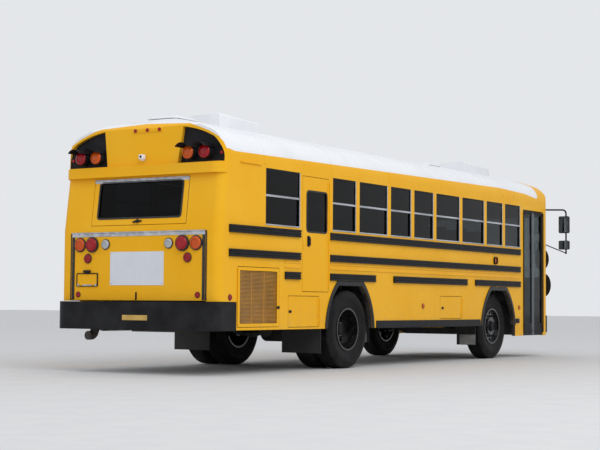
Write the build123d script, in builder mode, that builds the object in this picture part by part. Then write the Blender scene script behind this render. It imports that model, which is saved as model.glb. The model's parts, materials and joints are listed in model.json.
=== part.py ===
from build123d import *
import math
import os

os.makedirs("parts", exist_ok=True)

# School bus with its engine behind the rear axle, in millimetres.
# X runs forward, Y to the left, Z up from the ground.
# A station is a distance forward of the rear skin, and at() turns it into X.

# Side windows from the rear: station of the frame, width of the frame, top
FIRST_WINDOW = 980
SECTION_START = 2571
NARROW_SECTION = 705
WIDE_SECTION = 883
WINDOW_POST = 91
SECTIONS = "NWNNWWNN"
section_widths = [WIDE_SECTION if letter == "W" else NARROW_SECTION for letter in SECTIONS]

# The driver's part of the body starts where the window sections end
DRIVER_PART = SECTION_START + sum(section_widths)
NOSE = 1095
BODY_LENGTH = DRIVER_PART + NOSE

# Main sizes
REAR_REACH = 100
MIRROR_REACH = 170
HALF_WIDTH = 1219
WALL = 60
ROOF_WALL = 45
SKIRT_Z = 537
FLOOR_Z = 1000
FLOOR_THICK = 60
SILL_Z = 1818
WINDOW_HEIGHT = 706
WINDOW_TOP = SILL_Z + WINDOW_HEIGHT
GUTTER_Z = WINDOW_TOP + 21
EAVE_Z = GUTTER_Z + 80
EAVE_RADIUS = 330
EAVE_TURN = 68
GAP = 7
HINGE_R = 9

REAR_X = REAR_REACH - (BODY_LENGTH + REAR_REACH + MIRROR_REACH) / 2
FRONT_X = REAR_X + BODY_LENGTH


def at(station):
    return REAR_X + station


# Wheels
TYRE_R = 522
TYRE_WIDTH = 280
RIM_R = 286
REAR_AXLE = 3040
FRONT_AXLE = DRIVER_PART - 965
REAR_TYRE_OUT = HALF_WIDTH - 24
FRONT_TYRE_OUT = HALF_WIDTH - 99
TWIN_GAP = 50
KINGPIN_Y = FRONT_TYRE_OUT - 340

# Caps, seams and wall corners
REAR_CAP_END = 430
FRONT_CAP = BODY_LENGTH - 590
REAR_WRAP = 200
FRONT_WRAP = BODY_LENGTH - 229
BELT_Z = 1745
CAP_Z = GUTTER_Z - 145
FRONT_CAP_Z = GUTTER_Z - 69
LEAN = 7.4
BUMPER_WRAP = 365
REAR_BUMPER_BOTTOM = 530
REAR_BUMPER_TOP = 869
WALL_NOTCH_Z = REAR_BUMPER_TOP + 6

# Side windows: station of the frame, width of the frame, top
windows = [(FIRST_WINDOW, WIDE_SECTION - WINDOW_POST, WINDOW_TOP)]
section_at = SECTION_START
for section in section_widths:
    windows.append((section_at, section - WINDOW_POST, WINDOW_TOP))
    section_at += section
DRIVER_WINDOW = (DRIVER_PART + 65, 740, WINDOW_TOP - 74)

# Hinged panels of the side walls: first station, last station, bottom, top
EXIT_DOOR = (1822, 2474, 1010, WINDOW_TOP - 28)
EXIT_GLASS = (1925, 2425, 1783, WINDOW_TOP - 217)
ENTRANCE = (DRIVER_PART + 34, BODY_LENGTH - 236, 351, WINDOW_TOP - 58)
RADIATOR_DOOR = (392, 1297, 568, 1300)
BATTERY_DOOR = (1500, 2240, 560, 960)
FUEL_DOOR = (5694, 6434, 650, 992)
LEAF = 45
PANE = 6

# Wheel arches: half width at the skirt, half width at the flat top, height
REAR_ARCH = (650, 345, 625)
FRONT_ARCH = (670, 311, 620)
ARCH_BULGE = 73
ARCH_TRIM = 60
TRIM_PROUD = 14


def rect(s0, s1, z0, z1, mode=Mode.ADD):
    with Locations((at((s0 + s1) / 2), (z0 + z1) / 2)):
        Rectangle(s1 - s0, z1 - z0, mode=mode)


def block(x0, x1, y0, y1, z0, z1, mode=Mode.ADD):
    with Locations(((x0 + x1) / 2, (y0 + y1) / 2, (z0 + z1) / 2)):
        Box(x1 - x0, y1 - y0, z1 - z0, mode=mode)


def arch(station, size, inset, mode):
    # Outline of a wheel arch on a side plane, open below the skirt
    base = size[0] - inset
    top = size[1] - inset * 0.6
    rise = size[2] - inset
    slant = math.hypot(base - top, rise)
    mid_x = (base + top) / 2 + ARCH_BULGE * rise / slant
    mid_z = rise / 2 + ARCH_BULGE * (base - top) / slant
    cx = at(station)
    below = SKIRT_Z - 60
    with BuildLine(mode=Mode.PRIVATE) as edge:
        Line((cx - base, below), (cx - base, SKIRT_Z))
        ThreePointArc((cx - base, SKIRT_Z), (cx - mid_x, SKIRT_Z + mid_z), (cx - top, SKIRT_Z + rise))
        Line((cx - top, SKIRT_Z + rise), (cx + top, SKIRT_Z + rise))
        ThreePointArc((cx + top, SKIRT_Z + rise), (cx + mid_x, SKIRT_Z + mid_z), (cx + base, SKIRT_Z))
        Line((cx + base, SKIRT_Z), (cx + base, below))
        Line((cx + base, below), (cx - base, below))
    make_face(edge.line, mode=mode)


def roof_face(inset, bottom, mode=Mode.ADD):
    # Cross-section of the roof: straight below the eave, eave arc, crown arc
    half = HALF_WIDTH - inset
    eave = EAVE_RADIUS - inset
    turn = math.radians(EAVE_TURN)
    crown = half - eave * (1 - math.cos(turn))
    crown_r = crown / math.cos(turn)
    with BuildLine(mode=Mode.PRIVATE) as edge:
        up = Line((half, bottom), (half, EAVE_Z))
        bend = JernArc(up @ 1, (0, 1), eave, EAVE_TURN)
        over = JernArc(bend @ 1, bend % 1, crown_r, 2 * (90 - EAVE_TURN))
        fall = JernArc(over @ 1, over % 1, eave, EAVE_TURN)
        down = Line(fall @ 1, (-half, bottom))
        Line(down @ 1, up @ 0)
    make_face(edge.line, mode=mode)


eave_rad = math.radians(EAVE_TURN)
crown_half = HALF_WIDTH - EAVE_RADIUS * (1 - math.cos(eave_rad))
crown_rise = crown_half * (1 / math.cos(eave_rad) - math.tan(eave_rad))
CROWN_Z = EAVE_Z + EAVE_RADIUS * math.sin(eave_rad) + crown_rise

# Side walls, each one plate with its windows, doors and arches cut
RIBS = (1310, 1372)
RIB_HEIGHT = 16
RIB_PROUD = 9
FRONT_SKIRT = (DRIVER_PART - 305, DRIVER_PART + 27, 355)
STOP_HOUSING = (DRIVER_PART - 245, DRIVER_PART - 135, 1480, 1640)
STOP_HOUSING_PROUD = 62

for side, sign in (("right", -1), ("left", 1)):
    skin = Plane.XZ.offset(-sign * HALF_WIDTH)
    with BuildPart() as wall:
        with BuildSketch(skin):
            rect(REAR_WRAP, FRONT_WRAP, SKIRT_Z, GUTTER_Z)
            rect(REAR_WRAP, BUMPER_WRAP + GAP, SKIRT_Z, WALL_NOTCH_Z, Mode.SUBTRACT)
            rect(FRONT_SKIRT[0], FRONT_SKIRT[1], FRONT_SKIRT[2], SKIRT_Z)
            for start, width, top in windows:
                rect(start, start + width, SILL_Z, top, Mode.SUBTRACT)
            rect(*EXIT_DOOR, mode=Mode.SUBTRACT)
            if side == "right":
                rect(FRONT_SKIRT[1], FRONT_WRAP, SKIRT_Z, FRONT_CAP_Z, Mode.SUBTRACT)
                for panel in (RADIATOR_DOOR, BATTERY_DOOR, FUEL_DOOR):
                    rect(*panel, mode=Mode.SUBTRACT)
            else:
                start, width, top = DRIVER_WINDOW
                rect(start, start + width, SILL_Z, top, Mode.SUBTRACT)
                rect(FRONT_SKIRT[1], FRONT_WRAP, FRONT_SKIRT[2], SKIRT_Z)
            rect(FRONT_CAP, FRONT_WRAP, FRONT_CAP_Z, GUTTER_Z, Mode.SUBTRACT)
            rect(REAR_WRAP, REAR_CAP_END, CAP_Z, GUTTER_Z, Mode.SUBTRACT)
            arch(REAR_AXLE, REAR_ARCH, ARCH_TRIM, Mode.SUBTRACT)
            arch(FRONT_AXLE, FRONT_ARCH, ARCH_TRIM, Mode.SUBTRACT)
        extrude(amount=sign * WALL)
        with BuildSketch(skin):
            for rib_z in RIBS:
                rect(1415, EXIT_DOOR[0] - 30, rib_z, rib_z + RIB_HEIGHT)
                rect(EXIT_DOOR[1] + 30, FRONT_SKIRT[1] - 142, rib_z, rib_z + RIB_HEIGHT)
        extrude(amount=-sign * RIB_PROUD)
        if side == "left":
            with BuildSketch(skin):
                rect(*STOP_HOUSING)
            extrude(amount=-sign * STOP_HOUSING_PROUD)
    wall.part.label = f"side_wall_{side}"
    export_step(wall.part, f"parts/side_wall_{side}.step")

# Window sashes with a middle rail, and the panes that sit in them
SASH = 20
SASH_DEPTH = 40
SASH_BACK = 4
MID_RAIL_Z = 2175
MID_RAIL = 26
side_windows = [(-1, window) for window in windows] + [(1, window) for window in windows + [DRIVER_WINDOW]]

with BuildPart() as window_frames:
    for sign, (start, width, top) in side_windows:
        with BuildSketch(Plane.XZ.offset(-sign * (HALF_WIDTH - SASH_BACK))):
            rect(start, start + width, SILL_Z, top)
            rect(start + SASH, start + width - SASH, SILL_Z + SASH, MID_RAIL_Z, Mode.SUBTRACT)
            rect(start + SASH, start + width - SASH, MID_RAIL_Z + MID_RAIL, top - SASH, Mode.SUBTRACT)
        extrude(amount=sign * SASH_DEPTH)
window_frames.part.label = "window_frames"
export_step(window_frames.part, "parts/window_frames.step")

with BuildPart() as window_glass:
    for sign, (start, width, top) in side_windows:
        with BuildSketch(Plane.XZ.offset(-sign * (HALF_WIDTH - 12))):
            rect(start + SASH, start + width - SASH, MID_RAIL_Z + MID_RAIL, top - SASH)
        extrude(amount=sign * PANE)
        with BuildSketch(Plane.XZ.offset(-sign * (HALF_WIDTH - 24))):
            rect(start + SASH, start + width - SASH, SILL_Z + SASH, MID_RAIL_Z)
        extrude(amount=sign * PANE)
window_glass.part.label = "window_glass"
export_step(window_glass.part, "parts/window_glass.step")

# Roof skin with two hatch curbs and the drip rails
HATCH = 400
CURB = 20
CURB_TOP = CROWN_Z + 12
REAR_HATCH = 675
FRONT_HATCH = DRIVER_PART - 1295
DRIP = 16
DRIP_END = 870

with BuildPart() as roof:
    with BuildSketch(Plane.YZ.offset(at(REAR_CAP_END))):
        roof_face(0, GUTTER_Z)
        roof_face(ROOF_WALL, GUTTER_Z, Mode.SUBTRACT)
    extrude(amount=FRONT_CAP - REAR_CAP_END)
    for station in (REAR_HATCH, FRONT_HATCH):
        with BuildSketch(Plane.XY.offset(CROWN_Z - 30)):
            with Locations((at(station), 0)):
                Rectangle(HATCH + 2 * CURB, HATCH + 2 * CURB)
        extrude(amount=CURB_TOP - CROWN_Z + 30)
        with BuildSketch(Plane.XY.offset(CROWN_Z - 150)):
            with Locations((at(station), 0)):
                Rectangle(HATCH, HATCH)
        extrude(amount=250, mode=Mode.SUBTRACT)
    with BuildSketch(Plane.YZ.offset(at(REAR_CAP_END))):
        with Locations((HALF_WIDTH + DRIP / 2, GUTTER_Z + DRIP / 2)):
            Rectangle(DRIP, DRIP)
    extrude(amount=DRIP_END - REAR_CAP_END)
    with BuildSketch(Plane.YZ.offset(at(REAR_CAP_END))):
        with Locations((-HALF_WIDTH - DRIP / 2, GUTTER_Z + DRIP / 2)):
            Rectangle(DRIP, DRIP)
    extrude(amount=DRIP_END - REAR_CAP_END)
roof.part.label = "roof"
export_step(roof.part, "parts/roof.step")

# Hatch lids, low domes that stand on the curbs
LID = 480
LID_RISE = 30
LID_EDGE = 12
LID_GAP = 5
for name, station in (("roof_hatch_rear", REAR_HATCH), ("roof_hatch_front", FRONT_HATCH)):
    with BuildPart() as lid:
        with BuildSketch(Plane.XY.offset(CURB_TOP + LID_GAP)):
            with Locations((at(station), 0)):
                RectangleRounded(LID, LID, 60)
        extrude(amount=LID_EDGE)
        with BuildSketch(Plane.XY.offset(CURB_TOP + LID_GAP + LID_EDGE)):
            with Locations((at(station), 0)):
                RectangleRounded(LID - 20, LID - 20, 60)
        extrude(amount=LID_RISE - LID_EDGE, taper=55)
        with Locations((at(station) + LID / 2 + HINGE_R - 2, 0, CURB_TOP + LID_GAP + HINGE_R)):
            Cylinder(HINGE_R, LID * 0.6, rotation=(90, 0, 0))
    lid.part.label = name
    export_step(lid.part, f"parts/{name}.step")

# Rear wall, bent round both rear corners, upright to the belt and leaning above it
lean_rad = math.radians(LEAN)
LEAN_RISE = CAP_Z - BELT_Z
LEAN_RUN = LEAN_RISE * math.tan(lean_rad)
ENGINE_DOOR = (HALF_WIDTH - 194, 885, 1705)
REAR_WINDOW = (HALF_WIDTH - 491, 59, 619)
CORNER_R = 110

rear_plane = Plane(origin=(at(0), 0, BELT_Z), x_dir=(0, -1, 0),
                   z_dir=(-math.cos(lean_rad), 0, math.sin(lean_rad)))


def rear_profile(inset, bottom, top):
    # Side view of the rear wall as a closed outline back to the side walls
    run = (top - BELT_Z) * math.tan(lean_rad)
    with BuildLine(mode=Mode.PRIVATE) as edge:
        Polyline((at(inset), bottom), (at(inset), BELT_Z), (at(inset + run), top), (at(REAR_WRAP), top),
                 (at(REAR_WRAP), bottom), close=True)
    make_face(edge.line)


with BuildPart() as rear_wall:
    with BuildSketch(Plane.XZ.offset(-HALF_WIDTH)):
        rear_profile(0, WALL_NOTCH_Z, CAP_Z)
    extrude(amount=2 * HALF_WIDTH)
    corner_edges = rear_wall.edges().filter_by(lambda e: abs(abs(e.center().Y) - HALF_WIDTH) < 1
                                               and e.center().X < at(LEAN_RUN) and e.length > 400)
    fillet(corner_edges, CORNER_R)
    with BuildSketch(Plane.XZ.offset(-HALF_WIDTH + WALL)):
        rear_profile(WALL, WALL_NOTCH_Z, CAP_Z)
    extrude(amount=2 * (HALF_WIDTH - WALL), mode=Mode.SUBTRACT)
    block(at(-10), at(WALL + 10), -ENGINE_DOOR[0] - GAP, ENGINE_DOOR[0] + GAP, WALL_NOTCH_Z - 10,
          ENGINE_DOOR[2] + GAP, Mode.SUBTRACT)
    with BuildSketch(rear_plane.offset(20)):
        with Locations((0, (REAR_WINDOW[1] + REAR_WINDOW[2]) / 2)):
            Rectangle(2 * (REAR_WINDOW[0] + GAP), REAR_WINDOW[2] - REAR_WINDOW[1] + 2 * GAP)
    extrude(amount=-2 * WALL, mode=Mode.SUBTRACT)
rear_wall.part.label = "rear_wall"
export_step(rear_wall.part, "parts/rear_wall.step")

# Engine door, hung from its top edge, with stiffening flanges inside and a plate holder
PLATE_Y = HALF_WIDTH - 445
PLATE_Z = 1131
PLATE_SIZE = (322, 158)
PLATE_HOLES = (177.8, 120.6)
PLATE_HOLE_R = 3.5
PLATE_PROUD = 6
with BuildPart() as engine_door:
    block(at(0), at(LEAF), -ENGINE_DOOR[0], ENGINE_DOOR[0], ENGINE_DOOR[1], ENGINE_DOOR[2])
    block(at(5), at(LEAF), -ENGINE_DOOR[0] + 40, ENGINE_DOOR[0] - 40, ENGINE_DOOR[1] + 40,
          ENGINE_DOOR[2] - 40, Mode.SUBTRACT)
    for y in (-340, 340):
        block(at(4), at(LEAF), y - 20, y + 20, ENGINE_DOOR[1] + 30, ENGINE_DOOR[2] - 30)
    with Locations((at(-HINGE_R - 0.5), 0, ENGINE_DOOR[2] + GAP)):
        Cylinder(HINGE_R, 2 * ENGINE_DOOR[0], rotation=(90, 0, 0))
    block(at(-5), at(0), -ENGINE_DOOR[0], ENGINE_DOOR[0], ENGINE_DOOR[2] - 40, ENGINE_DOOR[2])
    block(at(-5), at(-1), -ENGINE_DOOR[0], ENGINE_DOOR[0], ENGINE_DOOR[2], ENGINE_DOOR[2] + GAP)
    with BuildSketch(Plane.YZ.offset(at(-PLATE_PROUD))):
        with Locations((PLATE_Y, PLATE_Z)):
            Rectangle(PLATE_SIZE[0], PLATE_SIZE[1])
    extrude(amount=PLATE_PROUD)
    with BuildSketch(Plane.YZ.offset(at(-PLATE_PROUD))):
        with Locations((PLATE_Y, PLATE_Z)):
            with GridLocations(PLATE_HOLES[0], PLATE_HOLES[1], 2, 2):
                Circle(PLATE_HOLE_R)
    extrude(amount=2 * PLATE_PROUD, mode=Mode.SUBTRACT)
engine_door.part.label = "engine_door"
export_step(engine_door.part, "parts/engine_door.step")

# Tail lamps and reflectors on the engine door: Y, Z, radius, reach behind the skin
TAIL_LAMPS = (
    (HALF_WIDTH - 325, 1568, 90, 30),
    (HALF_WIDTH - 523, 1567, 96, 52),
    (HALF_WIDTH - 732, 1569, 65, 22),
    (HALF_WIDTH - 450, 1396, 60, 22),
    (HALF_WIDTH - 299, 953, 38, 10),
)
with BuildPart() as tail_lamps:
    for lamp_y, lamp_z, lamp_r, reach in TAIL_LAMPS:
        with BuildSketch(Plane.YZ.offset(at(0))):
            with Locations((lamp_y, lamp_z), (-lamp_y, lamp_z)):
                Circle(lamp_r)
        extrude(amount=-reach)
    chamfer(tail_lamps.edges().filter_by(GeomType.CIRCLE).filter_by(lambda e: e.center().X < at(-15)), 8)
tail_lamps.part.label = "tail_lamps"
export_step(tail_lamps.part, "parts/tail_lamps.step")

# Rear exit window, hung from its top edge in the leaning wall
SIDE_BAR = 87
LOWER_BAR = 85
UPPER_BAR = 27
PANE_R = 40
rear_pane = (2 * (REAR_WINDOW[0] - SIDE_BAR), REAR_WINDOW[2] - REAR_WINDOW[1] - LOWER_BAR - UPPER_BAR)
rear_pane_at = (0, (REAR_WINDOW[1] + LOWER_BAR + REAR_WINDOW[2] - UPPER_BAR) / 2)
with BuildPart() as rear_window:
    with BuildSketch(rear_plane):
        with Locations((0, (REAR_WINDOW[1] + REAR_WINDOW[2]) / 2)):
            Rectangle(2 * REAR_WINDOW[0], REAR_WINDOW[2] - REAR_WINDOW[1])
        with Locations(rear_pane_at):
            RectangleRounded(*rear_pane, PANE_R, mode=Mode.SUBTRACT)
    extrude(amount=-LEAF)
    with BuildSketch(rear_plane.offset(-15)):
        with Locations(rear_pane_at):
            RectangleRounded(*rear_pane, PANE_R)
    extrude(amount=-PANE)
    with BuildSketch(rear_plane):
        with Locations((0, REAR_WINDOW[2] - 12)):
            Rectangle(2 * REAR_WINDOW[0], 38)
    extrude(amount=4)
    barrel_top = rear_plane.from_local_coords(Vector(0, REAR_WINDOW[2] + GAP, HINGE_R))
    with Locations(barrel_top):
        Cylinder(HINGE_R, 2 * REAR_WINDOW[0], rotation=(90, 0, 0))
rear_window.part.label = "rear_window"
export_step(rear_window.part, "parts/rear_window.step")


# Caps at both roof ends, with a recess on each side for the warning lamps
# Y where the recess starts at its foot and at its top, height of its foot
POCKET = (HALF_WIDTH - 675, HALF_WIDTH - 612, GUTTER_Z - 10)
# Inset from the skin and Z along the upper edge of a recess, as two arcs that meet at the second point
POCKET_EDGE = ((369, GUTTER_Z + 380), (159, GUTTER_Z + 295), (54, GUTTER_Z + 180), (19, GUTTER_Z + 55))
POCKET_TOP = GUTTER_Z + 431


def pocket_faces():
    # Two recess outlines under the roof line, one each side of the sign panel
    inner, top_inner, bottom = POCKET
    for sign in (-1, 1):
        crest, knee, shoulder, hip = [(sign * (HALF_WIDTH - inset), z) for inset, z in POCKET_EDGE]
        start = (sign * top_inner, POCKET_TOP)
        with BuildLine(mode=Mode.PRIVATE) as edge:
            Line((sign * inner, bottom), start)
            ThreePointArc(start, crest, knee)
            ThreePointArc(knee, shoulder, hip)
            Line(hip, (hip[0], bottom))
            Line((hip[0], bottom), (sign * inner, bottom))
        make_face(edge.line)


# The rear cap stands over a ledge; its face leans forward and its top falls in an arc to the roof
LEDGE = 60
LEDGE_RISE = 125
LEDGE_R = 150
CAP_FACE = 77
CAP_LEAN = 2.9
CAP_CORNER = 110
CAP_FALL = 464
POCKET_FLOOR = 150
POCKET_BACK = 40
HOLLOW_TOP = GUTTER_Z + 455
cap_lean_rad = math.radians(CAP_LEAN)
cap_foot = CAP_FACE - LEDGE_RISE * math.tan(cap_lean_rad)
ledge_at = LEAN_RUN - LEDGE


def rear_outline(station, radius):
    # Plan of the rear end back to the cap's seam, with rounded corners
    with BuildLine(mode=Mode.PRIVATE) as edge:
        bend = FilletPolyline((at(REAR_CAP_END), -HALF_WIDTH), (at(station), -HALF_WIDTH),
                              (at(station), HALF_WIDTH), (at(REAR_CAP_END), HALF_WIDTH), radius=radius)
        Line(bend @ 1, bend @ 0)
    make_face(edge.line)


with BuildPart() as rear_cap:
    with BuildSketch(Plane.YZ.offset(at(REAR_CAP_END))):
        roof_face(0, CAP_Z)
    extrude(amount=-REAR_CAP_END)
    with BuildSketch(Plane.XY.offset(CAP_Z)):
        rear_outline(cap_foot, CAP_CORNER)
    extrude(amount=CROWN_Z - CAP_Z + 10, dir=(math.tan(cap_lean_rad), 0, 1), mode=Mode.INTERSECT)
    with BuildSketch(Plane.XZ.offset(-HALF_WIDTH)):
        with Locations((at(REAR_CAP_END / 2), CROWN_Z - CAP_FALL / 2)):
            Rectangle(REAR_CAP_END, CAP_FALL + 20)
        with Locations((at(REAR_CAP_END), CROWN_Z - CAP_FALL)):
            Circle(CAP_FALL, mode=Mode.SUBTRACT)
    extrude(amount=2 * HALF_WIDTH, mode=Mode.SUBTRACT)
    with BuildSketch(Plane.XY.offset(CAP_Z)):
        rear_outline(ledge_at, LEDGE_R)
    extrude(amount=LEDGE_RISE)
    with BuildSketch(Plane.YZ.offset(at(POCKET_FLOOR))):
        pocket_faces()
    extrude(amount=-POCKET_FLOOR, mode=Mode.SUBTRACT)
    with BuildSketch(Plane.YZ.offset(at(REAR_CAP_END))):
        roof_face(ROOF_WALL, CAP_Z)
        with Locations((0, HOLLOW_TOP + CAP_FALL / 2)):
            Rectangle(2 * HALF_WIDTH, CAP_FALL, mode=Mode.SUBTRACT)
    extrude(amount=-(REAR_CAP_END - POCKET_FLOOR - POCKET_BACK), mode=Mode.SUBTRACT)
rear_cap.part.label = "rear_cap"
export_step(rear_cap.part, "parts/rear_cap.step")

# Front outline in plan: straight sides, rounded corners, slightly bowed face
BOW_TURN = 4
FRONT_CORNER = 70
FRONT_BOTTOM = 351
bow_rad = math.radians(BOW_TURN)
bow_r = (HALF_WIDTH - FRONT_CORNER * (1 - math.sin(bow_rad))) / math.sin(bow_rad)
BOW = bow_r * (1 - math.cos(bow_rad))
corner_x = FRONT_X - BOW - FRONT_CORNER * math.cos(bow_rad)


def front_face(back, shift=0, inset=0, mode=Mode.ADD):
    half = HALF_WIDTH - inset
    with BuildLine(mode=Mode.PRIVATE) as edge:
        straight = Line((at(back), -half), (corner_x + shift, -half))
        turn = JernArc(straight @ 1, (1, 0), FRONT_CORNER - inset, 90 - BOW_TURN)
        nose = JernArc(turn @ 1, turn % 1, bow_r - inset, 2 * BOW_TURN)
        back_turn = JernArc(nose @ 1, nose % 1, FRONT_CORNER - inset, 90 - BOW_TURN)
        side_line = Line(back_turn @ 1, (at(back), half))
        Line(side_line @ 1, straight @ 0)
    make_face(edge.line, mode=mode)


WINDSHIELD = (HALF_WIDTH - 134, 1350, FRONT_CAP_Z - 76)
WINDSHIELD_POST = 25
with BuildPart() as front_wall:
    with BuildSketch(Plane.XY.offset(FRONT_BOTTOM)):
        front_face(FRONT_WRAP)
        front_face(FRONT_WRAP, inset=WALL, mode=Mode.SUBTRACT)
    extrude(amount=FRONT_CAP_Z - FRONT_BOTTOM)
    for sign in (-1, 1):
        block(FRONT_X - 250, FRONT_X + 10, min(sign * WINDSHIELD_POST, sign * WINDSHIELD[0]),
              max(sign * WINDSHIELD_POST, sign * WINDSHIELD[0]), WINDSHIELD[1], WINDSHIELD[2], Mode.SUBTRACT)
front_wall.part.label = "front_wall"
export_step(front_wall.part, "parts/front_wall.step")

with BuildPart() as windshield:
    with BuildSketch(Plane.XY.offset(WINDSHIELD[1])):
        front_face(FRONT_WRAP, inset=18)
        front_face(FRONT_WRAP, inset=26, mode=Mode.SUBTRACT)
        for sign in (-1, 1):
            with Locations((FRONT_X, sign * (WINDSHIELD[0] + 200))):
                Rectangle(600, 400, mode=Mode.SUBTRACT)
        with Locations((FRONT_X, 0)):
            Rectangle(600, 2 * WINDSHIELD_POST, mode=Mode.SUBTRACT)
    extrude(amount=WINDSHIELD[2] - WINDSHIELD[1])
windshield.part.label = "windshield"
export_step(windshield.part, "parts/windshield.step")

# The front cap falls in one long arc to the face, with a recess on each side for the lamps
FRONT_POCKET = 60
# Radius of the arc, how far its centre stands behind the face, height of its top over the crown
FRONT_ROLL = (600, 588, 5)
# Inner Y, outer Y, bottom, top and corner radius of a recess
FRONT_RECESS = (HALF_WIDTH - 674, HALF_WIDTH - 94, GUTTER_Z - 10, GUTTER_Z + 235, 50)
FRONT_HOLLOW_TOP = GUTTER_Z + 355


def front_recesses():
    inner, outer, bottom, top, corner = FRONT_RECESS
    middle = (inner + outer) / 2
    with Locations((middle, (bottom + top) / 2), (-middle, (bottom + top) / 2)):
        RectangleRounded(outer - inner, top - bottom, corner)


with BuildPart() as front_cap:
    with BuildSketch(Plane.YZ.offset(at(FRONT_CAP))):
        roof_face(0, FRONT_CAP_Z)
    extrude(amount=BODY_LENGTH - FRONT_CAP)
    with BuildSketch(Plane.XY.offset(FRONT_CAP_Z)):
        front_face(FRONT_CAP)
    extrude(amount=CROWN_Z - FRONT_CAP_Z + 10, mode=Mode.INTERSECT)
    roll_r, roll_back, roll_over = FRONT_ROLL
    with BuildSketch(Plane.XZ.offset(-HALF_WIDTH - 10)):
        with Locations((FRONT_X - roll_back + roll_r / 2, CROWN_Z + roll_over - roll_r / 2 + 10)):
            Rectangle(roll_r, roll_r + 20)
        with Locations((FRONT_X - roll_back, CROWN_Z + roll_over - roll_r)):
            Circle(roll_r, mode=Mode.SUBTRACT)
    extrude(amount=2 * HALF_WIDTH + 20, mode=Mode.SUBTRACT)
    with BuildSketch(Plane.YZ.offset(at(BODY_LENGTH - FRONT_POCKET - BOW))):
        front_recesses()
    extrude(amount=FRONT_POCKET + BOW, mode=Mode.SUBTRACT)
    with BuildSketch(Plane.YZ.offset(at(FRONT_CAP))):
        roof_face(ROOF_WALL, FRONT_CAP_Z)
        with Locations((0, FRONT_HOLLOW_TOP + roll_r / 2)):
            Rectangle(2 * HALF_WIDTH, roll_r, mode=Mode.SUBTRACT)
    extrude(amount=BODY_LENGTH - FRONT_CAP - FRONT_POCKET - BOW - 60, mode=Mode.SUBTRACT)
front_cap.part.label = "front_cap"
export_step(front_cap.part, "parts/front_cap.step")

# Roof units, white boxes that fall a little toward the front, their feet cut to the roof
UNIT_HALF = 240
UNIT_REAR = 188
UNIT_FRONT = 150
UNIT_EDGE = (25, 30)
UNIT_FOOT = 60
# Column names: first station, last station
UNITS = ((1365, 2295), (DRIVER_PART - 204, BODY_LENGTH - 311))
with BuildPart() as roof_units:
    for s0, s1 in UNITS:
        with BuildSketch(Plane.XZ.offset(-UNIT_HALF)):
            with BuildLine():
                Polyline((at(s0), CROWN_Z - UNIT_FOOT), (at(s0), CROWN_Z + UNIT_REAR),
                         (at(s1), CROWN_Z + UNIT_FRONT), (at(s1), CROWN_Z - 2 * UNIT_FOOT), close=True)
            make_face()
        extrude(amount=2 * UNIT_HALF)
    long_edges = roof_units.edges().filter_by(lambda e: e.center().Z > CROWN_Z + UNIT_FRONT / 2
                                              and abs(e.center().Y) > UNIT_HALF - 1)
    chamfer(long_edges, *UNIT_EDGE)
    add(roof.part, mode=Mode.SUBTRACT)
    add(front_cap.part, mode=Mode.SUBTRACT)
    with BuildSketch(Plane.YZ.offset(at(0))):
        roof_face(ROOF_WALL / 2, GUTTER_Z)
    extrude(amount=FRONT_CAP, mode=Mode.SUBTRACT)
roof_units.part.label = "roof_units"
export_step(roof_units.part, "parts/roof_units.step")

# Warning lamps: backing plates in the recesses, round lamps and their hoods
LAMP_Z = GUTTER_Z + 110
LAMP_INNER = HALF_WIDTH - 504
LAMP_OUTER = HALF_WIDTH - 262
LAMP_R = 85
HOOD_R = 105
HOOD_SHEET = 5
HOOD_TURN = 58
PLATE = 8
# Column names: outline of the recesses, X of the floor, direction the lamps face, depth of a lamp,
# reach of its hood
LAMP_BANKS = (
    (pocket_faces, at(POCKET_FLOOR), -1, 92, 236),
    (front_recesses, at(BODY_LENGTH - FRONT_POCKET - BOW), 1, 60, 150),
)
hood_side = 2 * HOOD_R * math.sin(math.radians(HOOD_TURN))
hood_foot = 2 * HOOD_R * math.cos(math.radians(HOOD_TURN))
with BuildPart() as warning_lamps:
    for outline, floor_x, facing, lamp_depth, hood_reach in LAMP_BANKS:
        with BuildSketch(Plane.YZ.offset(floor_x)):
            outline()
        extrude(amount=facing * PLATE)
        for y in (-LAMP_OUTER, -LAMP_INNER, LAMP_INNER, LAMP_OUTER):
            with BuildSketch(Plane.YZ.offset(floor_x + facing * PLATE)):
                with Locations((y, LAMP_Z)):
                    Circle(LAMP_R)
            extrude(amount=facing * lamp_depth)
            with BuildSketch(Plane.YZ.offset(floor_x + facing * PLATE)):
                with Locations((y, LAMP_Z)):
                    Circle(HOOD_R)
                    Circle(HOOD_R - HOOD_SHEET, mode=Mode.SUBTRACT)
                with BuildLine():
                    Polyline((y, LAMP_Z), (y + hood_side, LAMP_Z + hood_foot),
                             (y + hood_side, LAMP_Z + 2 * HOOD_R), (y - hood_side, LAMP_Z + 2 * HOOD_R),
                             (y - hood_side, LAMP_Z + hood_foot), close=True)
                make_face(mode=Mode.INTERSECT)
            extrude(amount=facing * hood_reach)
warning_lamps.part.label = "warning_lamps"
export_step(warning_lamps.part, "parts/warning_lamps.step")

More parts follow.
